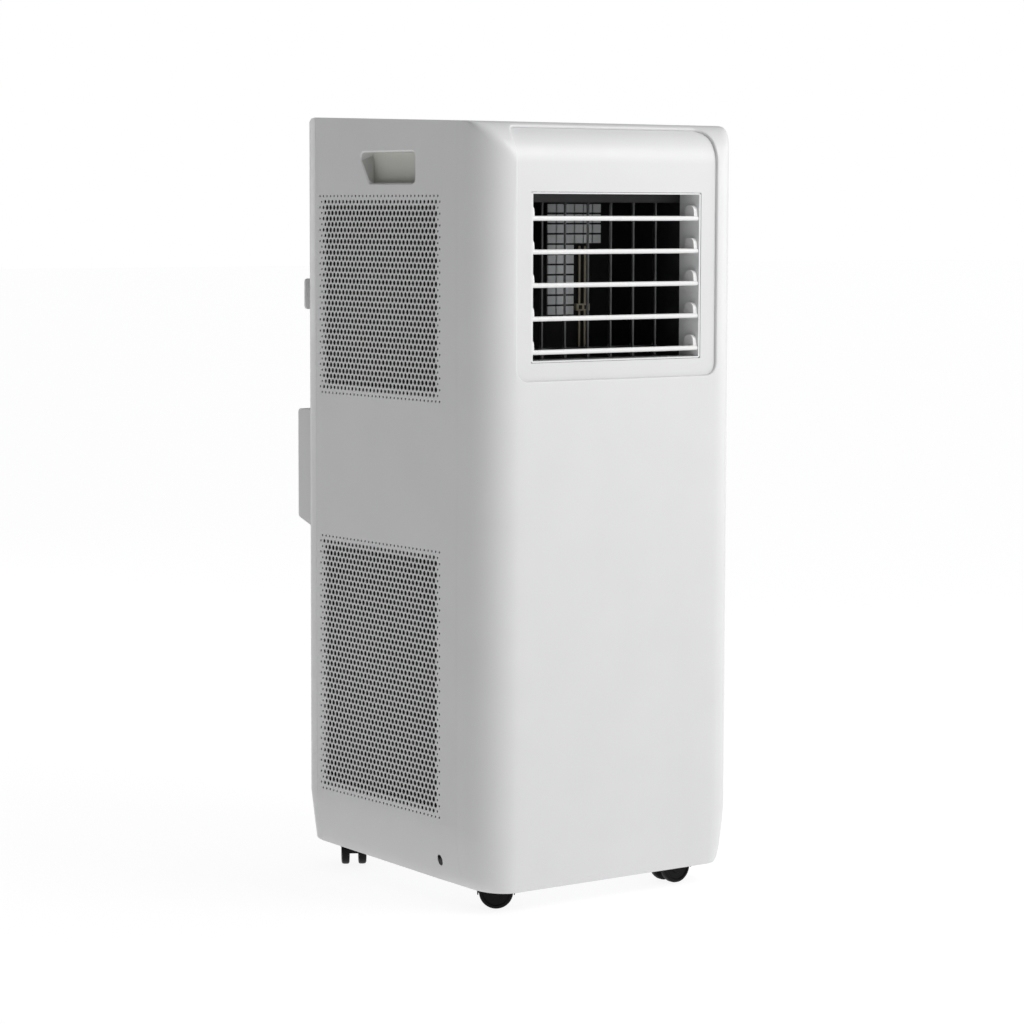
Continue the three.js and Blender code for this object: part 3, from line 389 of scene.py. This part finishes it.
class Maker:
    """Collects points and faces of several closed shapes for one piece."""

    def __init__(self):
        self.points = []
        self.faces = []

    def add(self, points, faces):
        start = len(self.points)
        self.points += [tuple(p) for p in points]
        self.faces += [tuple(i + start for i in face) for face in faces]

    def rings(self, rings, caps=True):
        """Skin over rings that have the same number of points each."""
        count = len(rings[0])
        points = [p for ring in rings for p in ring]
        faces = []
        for r in range(len(rings) - 1):
            for k in range(count):
                a, b = r * count + k, r * count + (k + 1) % count
                faces.append((a, b, b + count, a + count))
        if caps:
            faces.append(tuple(range(count))[::-1])
            faces.append(tuple(range((len(rings) - 1) * count, len(rings) * count)))
        self.add(points, faces)

    def prism(self, outline, axis, low, high):
        """An outline pushed along an axis; its own x and y run along (y, z), (x, z) or (x, y)."""
        self.rings([[PLACES[axis](a, b, c) for a, b in outline] for c in (low, high)])

    def box(self, x0, x1, y0, y1, z0, z1):
        self.prism([(x0, y0), (x1, y0), (x1, y1), (x0, y1)], "z", z0, z1)

    def bar(self, axis, low, high, a, b, radius, sides=24):
        self.prism(circle(a, b, radius, sides), axis, low, high)

    def lathe(self, profile, axis, a, b, sides=48):
        """A profile of (radius, height) turned about an axis; it starts and ends on the axis."""
        rings = []
        for radius, height in profile:
            rings.append([PLACES[axis](p, q, height) for p, q in circle(a, b, max(radius, 0.001), sides)])
        self.rings(rings)

    def tube(self, path, radius, sides=12):
        """A round tube along points in the casing's millimetres."""
        path = [Vector(p) for p in path]
        ends = [path[0], *path, path[-1]]
        ahead = [(after - before).normalized() for before, after in zip(ends, ends[2:])]
        side = ahead[0].orthogonal().normalized()
        rings = []
        for point, direction in zip(path, ahead):
            side = (side - direction * side.dot(direction)).normalized()
            other = direction.cross(side)
            rings.append([point + side * p + other * q for p, q in circle(0, 0, radius, sides)])
        self.rings(rings)

    def piece(self, name, material, body, slot, **options):
        return piece(name, self.points, self.faces, material, body, slot, **options)


def thicken(points, faces, behind):
    """A sheet made solid: the points behind its own, and walls round every open edge."""
    count = len(points)
    used = {}
    for face in faces:
        for k, a in enumerate(face):
            b = face[(k + 1) % len(face)]
            key = (min(a, b), max(a, b))
            used.setdefault(key, []).append((a, b))
    walls = [(b, a, a + count, b + count) for pairs in used.values() if len(pairs) == 1 for a, b in pairs]
    back = [tuple(i + count for i in reversed(face)) for face in faces]
    return [*points, *behind], faces + back + walls


# ---------------------------------------------------------------- side panels
FIELDS = {"upper": (478.5, 679.0), "lower": (66.5, 330.5)}
FIELD_FRONT, FIELD_REAR = 80.0, 293.0
SKIN = 0.8  # the panel's own thickness round the holes
HOLE = 2.72  # radius
HOLE_PITCH, ROW_PITCH = 6.5, 5.8
HOLE_SIDES = 8
FOOT_TOP = 60
POCKET = {"front": 123, "rear_top": 222, "rear_bottom": 202.5, "bottom": 691.6, "top": 722.5, "depth": 13}
SCREW = {"y": 84.7, "z": 22.3, "half_width": 4.4, "half_height": 6.2, "slant": -14}


class Sheet:
    """A sheet of points that are joined where they fall together."""

    def __init__(self):
        self.points, self.faces, self.index = [], [], {}

    def point(self, y, z):
        key = (round(y, 2), round(z, 2))
        if key not in self.index:
            self.index[key] = len(self.points)
            self.points.append((y, z))
        return self.index[key]

    def face(self, *corners):
        indices = [self.point(*c) for c in corners]
        kept = [a for k, a in enumerate(indices) if a != indices[k - 1]]
        if len(kept) > 2:
            self.faces.append(tuple(kept))

    def holed(self, y0, y1, z0, z1, hole):
        """A rectangle with an eight-sided hole in it, or none."""
        ym, zm = (y0 + y1) / 2, (z0 + z1) / 2
        rim = [(y1, zm), (y1, z1), (ym, z1), (y0, z1), (y0, zm), (y0, z0), (ym, z0), (y1, z0)]
        if hole is None:
            self.face(*rim)
            return
        for k in range(HOLE_SIDES):
            self.face(rim[k], rim[(k + 1) % HOLE_SIDES], hole[(k + 1) % HOLE_SIDES], hole[k])


def grading(index, count):
    """How large the holes are near the edge of a field."""
    return {0: 0.5, 1: 0.78}.get(min(index, count - 1 - index), 1.0)


def hole_field(sheet, bottom, top):
    """Rows of staggered round holes. Returns the field's outline as corners and joints along its edges."""
    rows = round((top - bottom) / ROW_PITCH) + 1
    step = (top - bottom) / (rows - 1)
    columns = round((FIELD_REAR - FIELD_FRONT) / HOLE_PITCH)
    half = HOLE_PITCH / 2
    start = (FIELD_FRONT + FIELD_REAR) / 2 - (columns + 0.5) * half
    low, high = bottom - step / 2, bottom - step / 2 + rows * step
    end = start + (columns + 0.5) * HOLE_PITCH
    for row in range(rows):
        z0, z1 = low + row * step, low + (row + 1) * step
        odd = row % 2
        blank = end - half if not odd else start
        sheet.holed(blank, blank + half, z0, z1, None)
        for column in range(columns):
            y0 = start + column * HOLE_PITCH + odd * half
            sideways = 0.5 if column == 0 else grading(columns - 1 - column, 2 * columns)
            size = HOLE * min(grading(row, rows), sideways)
            hole = circle(y0 + half, (z0 + z1) / 2, size, HOLE_SIDES)
            sheet.holed(y0, y0 + HOLE_PITCH, z0, z1, hole)
    across = [start + k * half / 2 for k in range(4 * columns + 3)]
    upright = [low + k * step / 2 for k in range(2 * rows + 1)]
    edge = [(y, low) for y in across] + [(end, z) for z in upright[1:]]
    edge += [(y, high) for y in reversed(across[:-1])] + [(start, z) for z in reversed(upright[1:-1])]
    used = set(sheet.index)
    return [p for p in edge if (round(p[0], 2), round(p[1], 2)) in used]


FOOT = [(60, 0), (11, 5.7), (3, 8), (-2, 13)]  # heights, and how far the casing's side has drawn in there


def foot_inset(z):
    """How far the casing's side has drawn in at a height; it leaves the upright smoothly."""
    for (upper, near), (lower, far) in zip(FOOT, FOOT[1:]):
        if z >= lower:
            share = max(0, (upper - z) / (upper - lower))
            return near + (far - near) * (share ** 1.5 if near == 0 else share)
    return FOOT[-1][1]


def foot_height(y, z):
    """Heights in the foot follow the raked bottom edge, less and less up to the foot's top."""
    if z >= FOOT_TOP:
        return z
    return z + RAKE * y * (FOOT_TOP - z) / (FOOT_TOP + 1)


def pocket_outline(grow):
    front, bottom, top = POCKET["front"] - grow, POCKET["bottom"] - grow, POCKET["top"] + grow
    radius = 5 + grow
    return rounded([
        (front, bottom, radius), (POCKET["rear_bottom"] + grow, bottom, radius),
        (POCKET["rear_top"] + grow, top, radius), (front, top, radius)], 4)


def side_panel(side, materials):
    """A side panel with its two fields of holes, its hand pocket and its screw recess."""
    sheet = Sheet()
    fields = [hole_field(sheet, *FIELDS[name]) for name in ("lower", "upper")]
    y0, y1 = FRONT_SEAM + SEAM / 2, REAR_SEAM - SEAM / 2
    breaks = [y0, SCREW["y"] - 11, SCREW["y"], SCREW["y"] + 11, y1]
    pocket = pocket_outline(1.6)
    outer = [(y, FOOT_TOP) for y in breaks] + [(y1, top_at(y1)), (y0, top_at(y0))]
    loops = [outer, *fields, pocket]
    flat = [[Vector((y, z, 0)) for y, z in loop] for loop in loops]
    corners = [p for loop in loops for p in loop]
    for triangle in tessellate_polygon(flat):
        sheet.face(*[corners[i] for i in triangle])
    # the foot, in rows, with the screw recess in one of its cells
    screw_z = SCREW["z"] - 1
    heights = [FOOT_TOP, 52, 44, screw_z + 10.3, screw_z, screw_z - 10.3, 3, -1]
    slant = math.radians(SCREW["slant"])
    ring = []
    for k in range(HOLE_SIDES):
        turn = k * math.pi / 4
        a, b = SCREW["half_width"] * math.cos(turn), SCREW["half_height"] * math.sin(turn)
        along, up = a * math.cos(slant) - b * math.sin(slant), a * math.sin(slant) + b * math.cos(slant)
        ring.append((SCREW["y"] + along, screw_z + up))
    for upper, lower in zip(heights, heights[1:]):
        for a, b in zip(breaks, breaks[1:]):
            in_recess = abs((a + b) / 2 - SCREW["y"]) < 11 and abs((upper + lower) / 2 - screw_z) < 11
            if not in_recess:
                sheet.face((a, lower), (b, lower), (b, upper), (a, upper))
    sheet.holed(breaks[1], breaks[3], heights[5], heights[3], ring)
    placed = [(y, foot_height(y, z)) for y, z in sheet.points]
    points = [(foot_inset(z), y, z) for y, z in placed]
    points, faces = thicken(points, sheet.faces, [(x + SKIN, y, z) for x, y, z in points])
    made = Maker()
    made.add(points, faces)
    # the pocket: a soft lip, walls that run in to an upright back, and the same again outside
    depth = POCKET["depth"]
    end = POCKET["rear_top"] - 8
    inner = rounded([(POCKET["front"] + 1, POCKET["bottom"] + 1, 4), (end, POCKET["bottom"] + 1, 2),
                     (end, POCKET["top"] - 1, 2), (POCKET["front"] + 1, POCKET["top"] - 1, 4)], 4)
    rings = [[(0, y, z) for y, z in pocket]]
    for x, grow in ((0.15, 1.0), (0.6, 0.4), (1.4, 0.0)):
        rings.append([(x, y, z) for y, z in pocket_outline(grow)])
    rings.append([(depth, y, z) for y, z in inner])
    skin = Maker()
    skin.rings(rings, caps=False)
    start = len(skin.points) - len(inner)
    skin.faces.append(tuple(range(start, start + len(inner))))
    shell = [(x + 1.8 if x > 1.5 else x + SKIN, y, z) for x, y, z in skin.points]
    count = len(skin.points)
    walls = [(k, (k + 1) % len(inner), (k + 1) % len(inner) + count, k + count) for k in range(len(inner))]
    made.add(skin.points + shell, skin.faces + [tuple(i + count for i in f) for f in skin.faces] + walls)
    scale = at if side == "left" else lambda x, y, z: at(WIDTH - x, y, z)
    shown = made.piece(f"{side}_side_shell", materials["casing"], "casing", "casing", scale=scale)
    # the pocket's inside takes two darker greys: painted shade on its walls and back, painted shadow on its rear
    # wall
    shown.data.materials.append(materials["pocket"])
    shown.data.materials.append(materials["pocket_rear_painted_shadow"])
    y_range, z_range = (POCKET["front"], POCKET["rear_top"]), (POCKET["bottom"], POCKET["top"])
    (y_low, y_high), (z_low, z_high) = [[edge * MM for edge in edges] for edges in (y_range, z_range)]
    for face in shown.data.polygons:
        side_in = min(abs(face.center.x - LOW.x), abs(LOW.x + WIDTH * MM - face.center.x)) / MM
        within = y_low < face.center.y - LOW.y < y_high and z_low < face.center.z - FLOOR_GAP * MM < z_high
        if within and side_in > 2.2:
            # faces of the rear wall take the painted shadow, the other inside faces the painted shade
            at_rear = abs(face.normal.y) > 0.4 and face.center.y - LOW.y > (end - 12) * MM
            face.material_index = 2 if at_rear else 1
    # a black plate behind the screw recess, painted shade for its dark inside, with a black screw head in the hole
    well = Maker()
    well.box(7, 9, SCREW["y"] - 9, SCREW["y"] + 9, screw_z - 10, screw_z + 12)
    well.bar("x", 4.5, 7.2, SCREW["y"], screw_z, 3.2)
    well.piece(f"{side}_screw_recess_painted_shade", materials["duct"], "casing", "duct", scale=scale)
    return shown


# ---------------------------------------------------------------- front shell and outlet bezel
INSERT = {"half": 125.5, "bottom": 500, "top": 747.5, "radius": 13, "recess": 3, "wall": 2.5}
OUTLET = {"half": 106.5, "bottom": 517.7, "top": 683}
FILLET = 1.5
BROW_Z = top_at(BROW) - BROW * math.hypot(1, RAKE)  # height of the brow's centre line
BROW_TURN = 90 - math.degrees(math.atan(RAKE))  # the brow's arc, in degrees
LID_FRONT = 44.6


def front_point(x, y, normal, z, depth):
    """A point `depth` under the casing's front: (x, y) on the plan, z as it is on the surface."""
    across, inward = normal
    z = foot_height(y, z)
    draw = foot_inset(z)
    x += across * (draw + depth)
    y += inward * (0.6 * min(draw, 8) + depth)
    if z <= BROW_Z:
        return x, y, z
    turn = math.asin(min(1, (z - BROW_Z) / BROW))
    brow = BROW - (BROW - depth) * math.cos(turn)
    blend = min(14, max(0, min(y - depth, brow - depth)))
    near = max(blend - abs(y - brow), 0) / blend if blend else 0
    return x, max(y, brow) + near * near * blend / 4, BROW_Z + (BROW - depth) * math.sin(turn)


def plan_column(x):
    """The plan's (x, y) and its inward normal at a distance from the left side."""
    if CORNER <= x <= WIDTH - CORNER:
        return x, 0, (0, 1)
    mirror = x > WIDTH / 2
    inset = WIDTH - x if mirror else x
    turn = math.acos((CORNER - inset) / CORNER)
    normal = (-math.cos(turn) if mirror else math.cos(turn), math.sin(turn))
    return x, CORNER - CORNER * math.sin(turn), normal


def plan_side():
    """Columns round the left corner, from the seam to the upper opening's edge."""
    edge = WIDTH / 2 - INSERT["half"] - FILLET
    last = math.degrees(math.acos((CORNER - edge) / CORNER))
    columns = [(0, FRONT_SEAM - SEAM / 2, (1, 0)), (0, LID_FRONT, (1, 0))]
    for k in range(15):
        turn = math.radians(last * k / 14)
        normal = (math.cos(turn), math.sin(turn))
        columns.append((CORNER - CORNER * normal[0], CORNER - CORNER * normal[1], normal))
    return columns


def mirrored(columns):
    return [(WIDTH - x, y, (-across, inward)) for x, y, (across, inward) in reversed(columns)]


def opening_edge():
    """The opening's left edge from below to above, as (core x, core z, direction)."""
    core = WIDTH / 2 - INSERT["half"] + INSERT["radius"]
    low, high = INSERT["bottom"] + INSERT["radius"], INSERT["top"] - INSERT["radius"]
    turns = [math.radians(18 * k) for k in range(6)]
    edge = [(core, low, (-math.sin(a), -math.cos(a))) for a in turns]
    edge += [(core, z, (-1, 0)) for z in (560, 612, 661, BROW_Z)]
    edge += [(core, BROW_Z + BROW * math.sin(math.radians(6 * k)), (-1, 0)) for k in range(1, 6)]
    return edge + [(core, high, (-math.cos(a), math.sin(a))) for a in turns]


def front_shell(materials):
    """The front with its rounded corners and brow, its soft-edged opening and its tucked-in foot."""
    edge = opening_edge()
    reach = INSERT["radius"] + FILLET
    side = plan_side()
    core = edge[0][0]
    middle = [plan_column(x) for x in (CORNER, core, WIDTH / 2, WIDTH - core, WIDTH - CORNER)]
    full = [*side, *middle, *mirrored(side)]
    made = Maker()
    sheet, faces, keys = [], [], {}

    def point(column, z):
        x, y, normal = column
        key = (round(x, 3), round(y, 3), round(z, 3))
        if key not in keys:
            keys[key] = len(sheet)
            sheet.append((x, y, normal, z))
        return keys[key]

    def band(lower, z0, upper, z1):
        faces.append(tuple(point(c, z0) for c in lower) + tuple(point(c, z1) for c in reversed(upper)))

    top = BROW_Z + BROW * math.sin(math.radians(BROW_TURN))
    bottom_z, top_z = edge[0][1] - reach, edge[-1][1] + reach
    below = [-1, 3, 11, 22, 33, 44, 52, 60, 200, 340, 480, bottom_z]
    above = [top_z, (top_z + top) / 2, top]
    for rows in (below, above):
        for z0, z1 in zip(rows, rows[1:]):
            for a, b in zip(full, full[1:]):
                band([a, b], z0, [a, b], z1)
    for (cx, cz, d0), (_, next_z, d1) in zip(edge, edge[1:]):
        z0, z1 = cz + reach * d0[1], next_z + reach * d1[1]
        for a, b in zip(side, side[1:]):
            band([a, b], z0, [a, b], z1)
            band(mirrored([a, b]), z0, mirrored([a, b]), z1)
        ends = [plan_column(cx + reach * d[0]) for d in (d0, d1)]
        lower = [side[-1], ends[0]] if d0[1] > -0.99 else [side[-1], middle[0], ends[0]]
        upper = [side[-1], ends[1]] if d1[1] < 0.99 else [side[-1], middle[0], ends[1]]
        band(lower, z0, upper, z1)
        band(mirrored(lower), z0, mirrored(upper), z1)

    def solid_point(x, y, normal, z, depth):
        if z > top - 0.01 and y > BROW:
            return x + normal[0] * depth, y, top_at(y) - depth
        return front_point(x, y, normal, z, depth)

    outer = [solid_point(*p, 0) for p in sheet]
    inner = [solid_point(*p, WALL) for p in sheet]
    # the level strip in front of the lid
    rim = [point(column, top) for column in full]
    seam = FRONT_SEAM - SEAM / 2
    ends = [(3, seam), (3, LID_FRONT), (WIDTH - 3, LID_FRONT), (WIDTH - 3, seam)]
    start = len(outer)
    outer += [(x, y, top_at(y)) for x, y in ends]
    inner += [(x, y, top_at(y) - WALL) for x, y in ends]
    faces.append(tuple(rim) + tuple(start + k for k in (3, 2, 1, 0)))
    # the opening's rounded edge, down to the bezel, closes the front against its back
    used = {}
    for face in faces:
        for k, a in enumerate(face):
            b = face[(k + 1) % len(face)]
            used.setdefault(frozenset((a, b)), []).append((a, b))
    loop = [*edge, *[(WIDTH - cx, cz, (-dx, dz)) for cx, cz, (dx, dz) in reversed(edge)]]
    loop_points = {point(plan_column(cx + reach * dx), cz + reach * dz) for cx, cz, (dx, dz) in loop}
    loop_points |= {point(c, z) for c in middle[1:-1] for z in (bottom_z, top_z)}
    open_edges = [pairs[0] for pairs in used.values() if len(pairs) == 1]
    count = len(outer)
    outer_edges = [(a, b) for a, b in open_edges if not (a in loop_points and b in loop_points)]
    walls = [(b, a, a + count, b + count) for a, b in outer_edges]
    made.add([*outer, *inner], faces + [tuple(i + count for i in reversed(f)) for f in faces] + walls)
    centre = WIDTH / 2
    loop.insert(len(edge), (centre, edge[-1][1], (0, 1)))
    loop.append((centre, edge[0][1], (0, -1)))
    turns = [math.radians(22.5 * k) for k in range(5)]
    steps = [(FILLET * (1 - math.sin(a)), FILLET * (1 - math.cos(a))) for a in turns]
    steps += [(0, WALL), (FILLET, WALL)]
    rings = []
    for grow, depth in steps:
        out = INSERT["radius"] + grow
        places = [(plan_column(cx + out * dx), cz + out * dz) for cx, cz, (dx, dz) in loop]
        rings.append([front_point(*column, z, depth) for column, z in places])
    made.rings(rings, caps=False)
    shown = made.piece("front_shell", materials["casing"], "casing", "casing", smooth_angle=38)
    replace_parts(shown, "front_panel")


def bezel(materials):
    """The recessed upper front, under the shell's surface all over, with the outlet's opening in it."""
    edge = WIDTH / 2 - INSERT["half"] - 4
    near = WIDTH / 2 - OUTLET["half"]
    left = [edge, (edge + CORNER) / 2, CORNER, near]
    columns = [plan_column(x) for x in [*left, WIDTH / 2, *[WIDTH - x for x in reversed(left)]]]
    turns = [math.radians(BROW_TURN * k / 12) for k in range(12)]
    brow_rows = [BROW_Z + BROW * math.sin(turn) for turn in turns]
    rows = [INSERT["bottom"] - 4, OUTLET["bottom"], OUTLET["top"], *brow_rows, 750.4]
    count = len(columns)
    faces = []
    for r, (z0, z1) in enumerate(zip(rows, rows[1:])):
        for k in range(count - 1):
            middle = (columns[k][0] + columns[k + 1][0]) / 2
            if not (abs(middle - WIDTH / 2) < OUTLET["half"] and OUTLET["bottom"] <= z0 < OUTLET["top"]):
                a = r * count + k
                faces.append((a, a + 1, a + count + 1, a + count))

    def layer(depth):
        return [front_point(*column, z, depth) for z in rows for column in columns]

    points, faces = thicken(layer(INSERT["recess"]), faces, layer(INSERT["recess"] + INSERT["wall"]))
    shown = piece("bezel_skin", points, faces, materials["casing"], "casing", "casing", smooth_angle=38)
    bevel(shown, 0.7, 3, 55)
    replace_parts(shown, "outlet_bezel")


# ---------------------------------------------------------------- louvers and what is seen between them
LOUVER = {"chord": 28, "lead": 9, "half": 104.1, "tilt": 3.5, "rise": 8, "pivot_y": 13}


def louver(number, materials):
    """One blade: rounded bead in front, thin behind, a rounded ear and pin at each end."""
    name = f"louver_{number}"
    pivot = Vector(JOINTS[f"{name}_tilt"]["pos_m"])
    z = (pivot.z / MM) - FLOOR_GAP - LOUVER["rise"]
    y = LOUVER["pivot_y"]
    lean = math.radians(-LOUVER["tilt"])
    front, rear = -LOUVER["lead"], LOUVER["chord"] - LOUVER["lead"]
    bead = 2.4
    nose = arc(front + bead, 0, bead, 90, 270, 12)
    tail = [(front + 8, -1.7), (rear - 0.6, -0.7), (rear, 0), (rear - 0.6, 0.7), (front + 8, 1.7)]
    profile = [
        (y + a * math.cos(lean) - b * math.sin(lean), z + a * math.sin(lean) + b * math.cos(lean))
        for a, b in nose + tail
    ]
    left, right = WIDTH / 2 - LOUVER["half"], WIDTH / 2 + LOUVER["half"]
    made = Maker()
    made.prism(profile, "x", left + 7.3, right)
    front_part = [p for p in profile if p[0] < y + 6.2]
    made.prism(front_part, "x", left, left + 7.4)
    pin_z = pivot.z / MM - FLOOR_GAP
    crown = pin_z + 5.4
    ear = rounded([(y - 8, z - 0.6, 0.8), (y + 8.5, z - 1.4, 0.8), (y + 6, crown, 6), (y - 6.5, crown, 6)])
    for x0, x1 in ((left, left + 3.1), (right - 5, right)):
        made.prism(ear, "x", x0, x1)
    made.bar("x", left - 2, left + 0.5, y, pin_z, 2.1, 16)
    made.bar("x", right - 0.5, right + 2, y, pin_z, 2.1, 16)
    link = JOINTS["louver_link_pin"]["pos_m"]
    link_y = (link[1] - LOW.y) / MM
    link_x = (link[0] - LOW.x) / MM
    made.box(left, left + 2, y + 4, link_y + 1, z - 2.4, z + 0.8)
    made.bar("x", left + 1, link_x + 2.4, link_y, z - 1, 1.7, 12)
    shown = made.piece(f"{name}_blade", materials["louver"], name, "louver")
    bevel(shown, 0.35, 2, 50)
    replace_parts(shown, name)


LATTICE = {"columns": 6, "rows": 11, "tile_height": 10.25, "short_rows": 4, "short_width": 36}
LEADS = {"places": (187.5, 194.5), "plug_bottom": 564, "plug_height": 7}


def lattice(materials):
    """The finger guard in the duct as an L-shaped field of pale tiles on a dark frame, with two wires. The pale L
    is painted light: the light from behind that shows through the far side's holes.
    """
    low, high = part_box("outlet_guard")
    x0, x1 = (low.x - LOW.x) / MM + 15, (high.x - LOW.x) / MM
    columns, rows, tall = LATTICE["columns"], LATTICE["rows"], LATTICE["tile_height"]
    z1 = high.z / MM - FLOOR_GAP + 3.4
    z0 = z1 - rows * tall
    y = (low.y - LOW.y) / MM
    step_x, step_z = x0 + LATTICE["short_width"], z1 - LATTICE["short_rows"] * tall
    wide = (x1 - x0) / columns
    tiles, frame_bars = Maker(), Maker()
    for row in range(rows):
        for column in range(columns):
            x, z = x0 + column * wide, z0 + row * tall
            if x + wide / 2 < step_x or z + tall / 2 > step_z:
                tiles.box(x + 0.9, x + wide - 0.9, y - 0.6, y + 1, z + 0.9, z + tall - 0.9)
    frame_bars.box(x0, step_x, y + 0.9, y + 2, z0, step_z)
    frame_bars.box(x0, x1, y + 0.9, y + 2, step_z, z1)
    # the pale tiles are painted light
    shown = tiles.piece("outlet_guard_painted_light_tiles", materials["tile"], "casing", "frame")
    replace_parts(shown, "outlet_guard")
    frame_bars.piece("outlet_guard_frame", materials["duct"], "casing", "duct")
    wires, sockets = Maker(), Maker()
    first, last = LEADS["places"]
    plug_low, plug_high = LEADS["plug_bottom"], LEADS["plug_bottom"] + LEADS["plug_height"]
    foot = low.z / MM - FLOOR_GAP - 26
    for x in (first, last):
        wires.tube([(x, y + 4, foot), (x, y + 4, plug_low), (x, y + 4, step_z - 2)], 1.1)
        sockets.box(x - 2, x + 2, y + 1.7, y + 2.5, plug_low + 1.5, plug_high - 1.5)
    wires.box(first - 5, last + 5, y + 2, y + 6, plug_low, plug_high)
    wires.piece("sensor_leads", materials["lead"], "casing", "duct")
    sockets.piece("sensor_sockets", materials["duct"], "casing", "duct")


# ---------------------------------------------------------------- casters
CASTER = {"wheel": 17, "hood": 18.8, "inner": 4.2, "outer": 13.3}


def caster(corner, materials):
    """A hooded swivel caster with twin wheels, turned the way its joints say."""
    swivel = Vector(JOINTS[f"caster_{corner}_swivel"]["pos_m"])
    roll = JOINTS[f"wheel_{corner}_roll"]
    axle = Vector(roll["pos_m"])
    across = Vector(roll["axis"]).normalized()
    ahead = Vector((swivel.x - axle.x, swivel.y - axle.y, 0)).normalized()
    wheel, reach, inner, outer = (CASTER[k] for k in ("wheel", "hood", "inner", "outer"))

    def place(x, y, z):
        return axle + (ahead * x + across * y + Vector((0, 0, z))) * MM

    rollers = Maker()
    tread = [
        (0, inner), (5, inner), (5.5, inner + 0.6), (wheel - 1.6, inner + 0.6), (wheel - 0.5, inner + 1.2),
        (wheel, inner + 2.6), (wheel, outer - 3), (wheel - 0.5, outer - 1.2), (wheel - 1.8, outer - 0.4),
        (wheel - 3.4, outer - 0.4), (wheel - 4, outer - 1.2), (7, outer - 1.2), (6.4, outer - 0.2),
        (0, outer),
    ]
    for sign in (-1, 1):
        rollers.lathe([(r, h * sign) for r, h in tread], "y", 0, 0)
    rollers.bar("y", -inner, inner, 0, 0, 2.4, 16)
    name = f"caster_{corner}"
    shown = rollers.piece(f"{name}_wheels", materials["caster"], f"wheel_{corner}", "caster", scale=place)
    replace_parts(shown, f"wheel_{corner}")

    hood = Maker()
    start, end = -8, 188
    shoulder = [(outer - 2.4, 0), (outer - 0.8, 0.2), (outer + 0.2, 0.9)]
    widths = [(-w, drop) for w, drop in reversed(shoulder)] + shoulder
    inside = arc(0, 0, wheel + 0.7, start, end, 28)[::-1]
    outlines = [(w, arc(0, 0, reach - drop, start, end, 28) + inside) for w, drop in widths]
    hood.rings([[(x, w, z) for x, z in outline] for w, outline in outlines])
    web = arc(0, 0, reach - 0.9, start, end, 20)
    hood.prism(web, "y", -inner + 0.7, inner - 0.7)
    top = swivel.z / MM - wheel
    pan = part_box("base_pan")[0].z / MM + 8 - wheel
    offset = (Vector((swivel.x, swivel.y)) - Vector((axle.x, axle.y))).length / MM
    plate = [
        (0, wheel - 2), (11.5, wheel - 2), (12.5, wheel - 1),
        (12.5, pan - 1.6), (11.8, pan - 0.5), (0, pan - 0.5),
    ]
    hood.lathe(plate, "z", offset, 0, 32)
    hood.bar("z", pan - 1, top + 8, offset, 0, 4.5, 20)
    shown = hood.piece(f"{name}_hood", materials["caster"], name, "caster", scale=place)
    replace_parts(shown, f"caster_{corner}")


# ---------------------------------------------------------------- the whole object
def dress_cad(materials):
    """Gives every CAD node that stays its slot's material, joined facets and soft edges."""
    slots = {part["node"]: part["material_slot"] for part in frame["record"]["subparts"]}
    widths = {
        "front_panel": 0.9, "outlet_bezel": 0.9, "top_cover": 1.0, "rear_panel": 0.9, "exhaust_collar": 1.2,
        "rear_filter_cover": 0.8, "control_panel": 0.4, "display_window": 0.4, "vane_link": 0.2,
        "louver_link": 0.2, "evaporator": 0, "condenser": 0, "outlet_guard": 0, "upper_blower": 0,
        "lower_blower": 0,
    }
    for name in NODES:
        finish_cad(name, materials[slots[name]], widths.get(name, 0.5))


def make_floor():
    bpy.ops.mesh.primitive_plane_add(size=60, location=(0, 0, -0.0003))
    floor = bpy.context.object
    floor.name = "floor"
    shader = Shader("pale_floor", (0.17, 0.17, 0.17), 0.7)
    shader.shade(shader.noise(900, 2), 0.005)
    shader.surface.inputs["Specular IOR Level"].default_value = 0.1
    shader.surface.inputs["Emission Color"].default_value = (1, 1, 1, 1)
    shader.surface.inputs["Emission Strength"].default_value = 0.9
    floor.data.materials.append(shader.material)


bpy.context.scene.view_settings.view_transform = "Standard"
make_camera()
make_world()
make_lights()
make_floor()
MATERIALS = make_materials()
dress_cad(MATERIALS)
for side in ("left", "right"):
    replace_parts(side_panel(side, MATERIALS), f"{side}_side_panel")
front_shell(MATERIALS)
bezel(MATERIALS)
for number in range(1, 6):
    louver(number, MATERIALS)
lattice(MATERIALS)
for corner in ("front_left", "front_right", "rear_left", "rear_right"):
    caster(corner, MATERIALS)
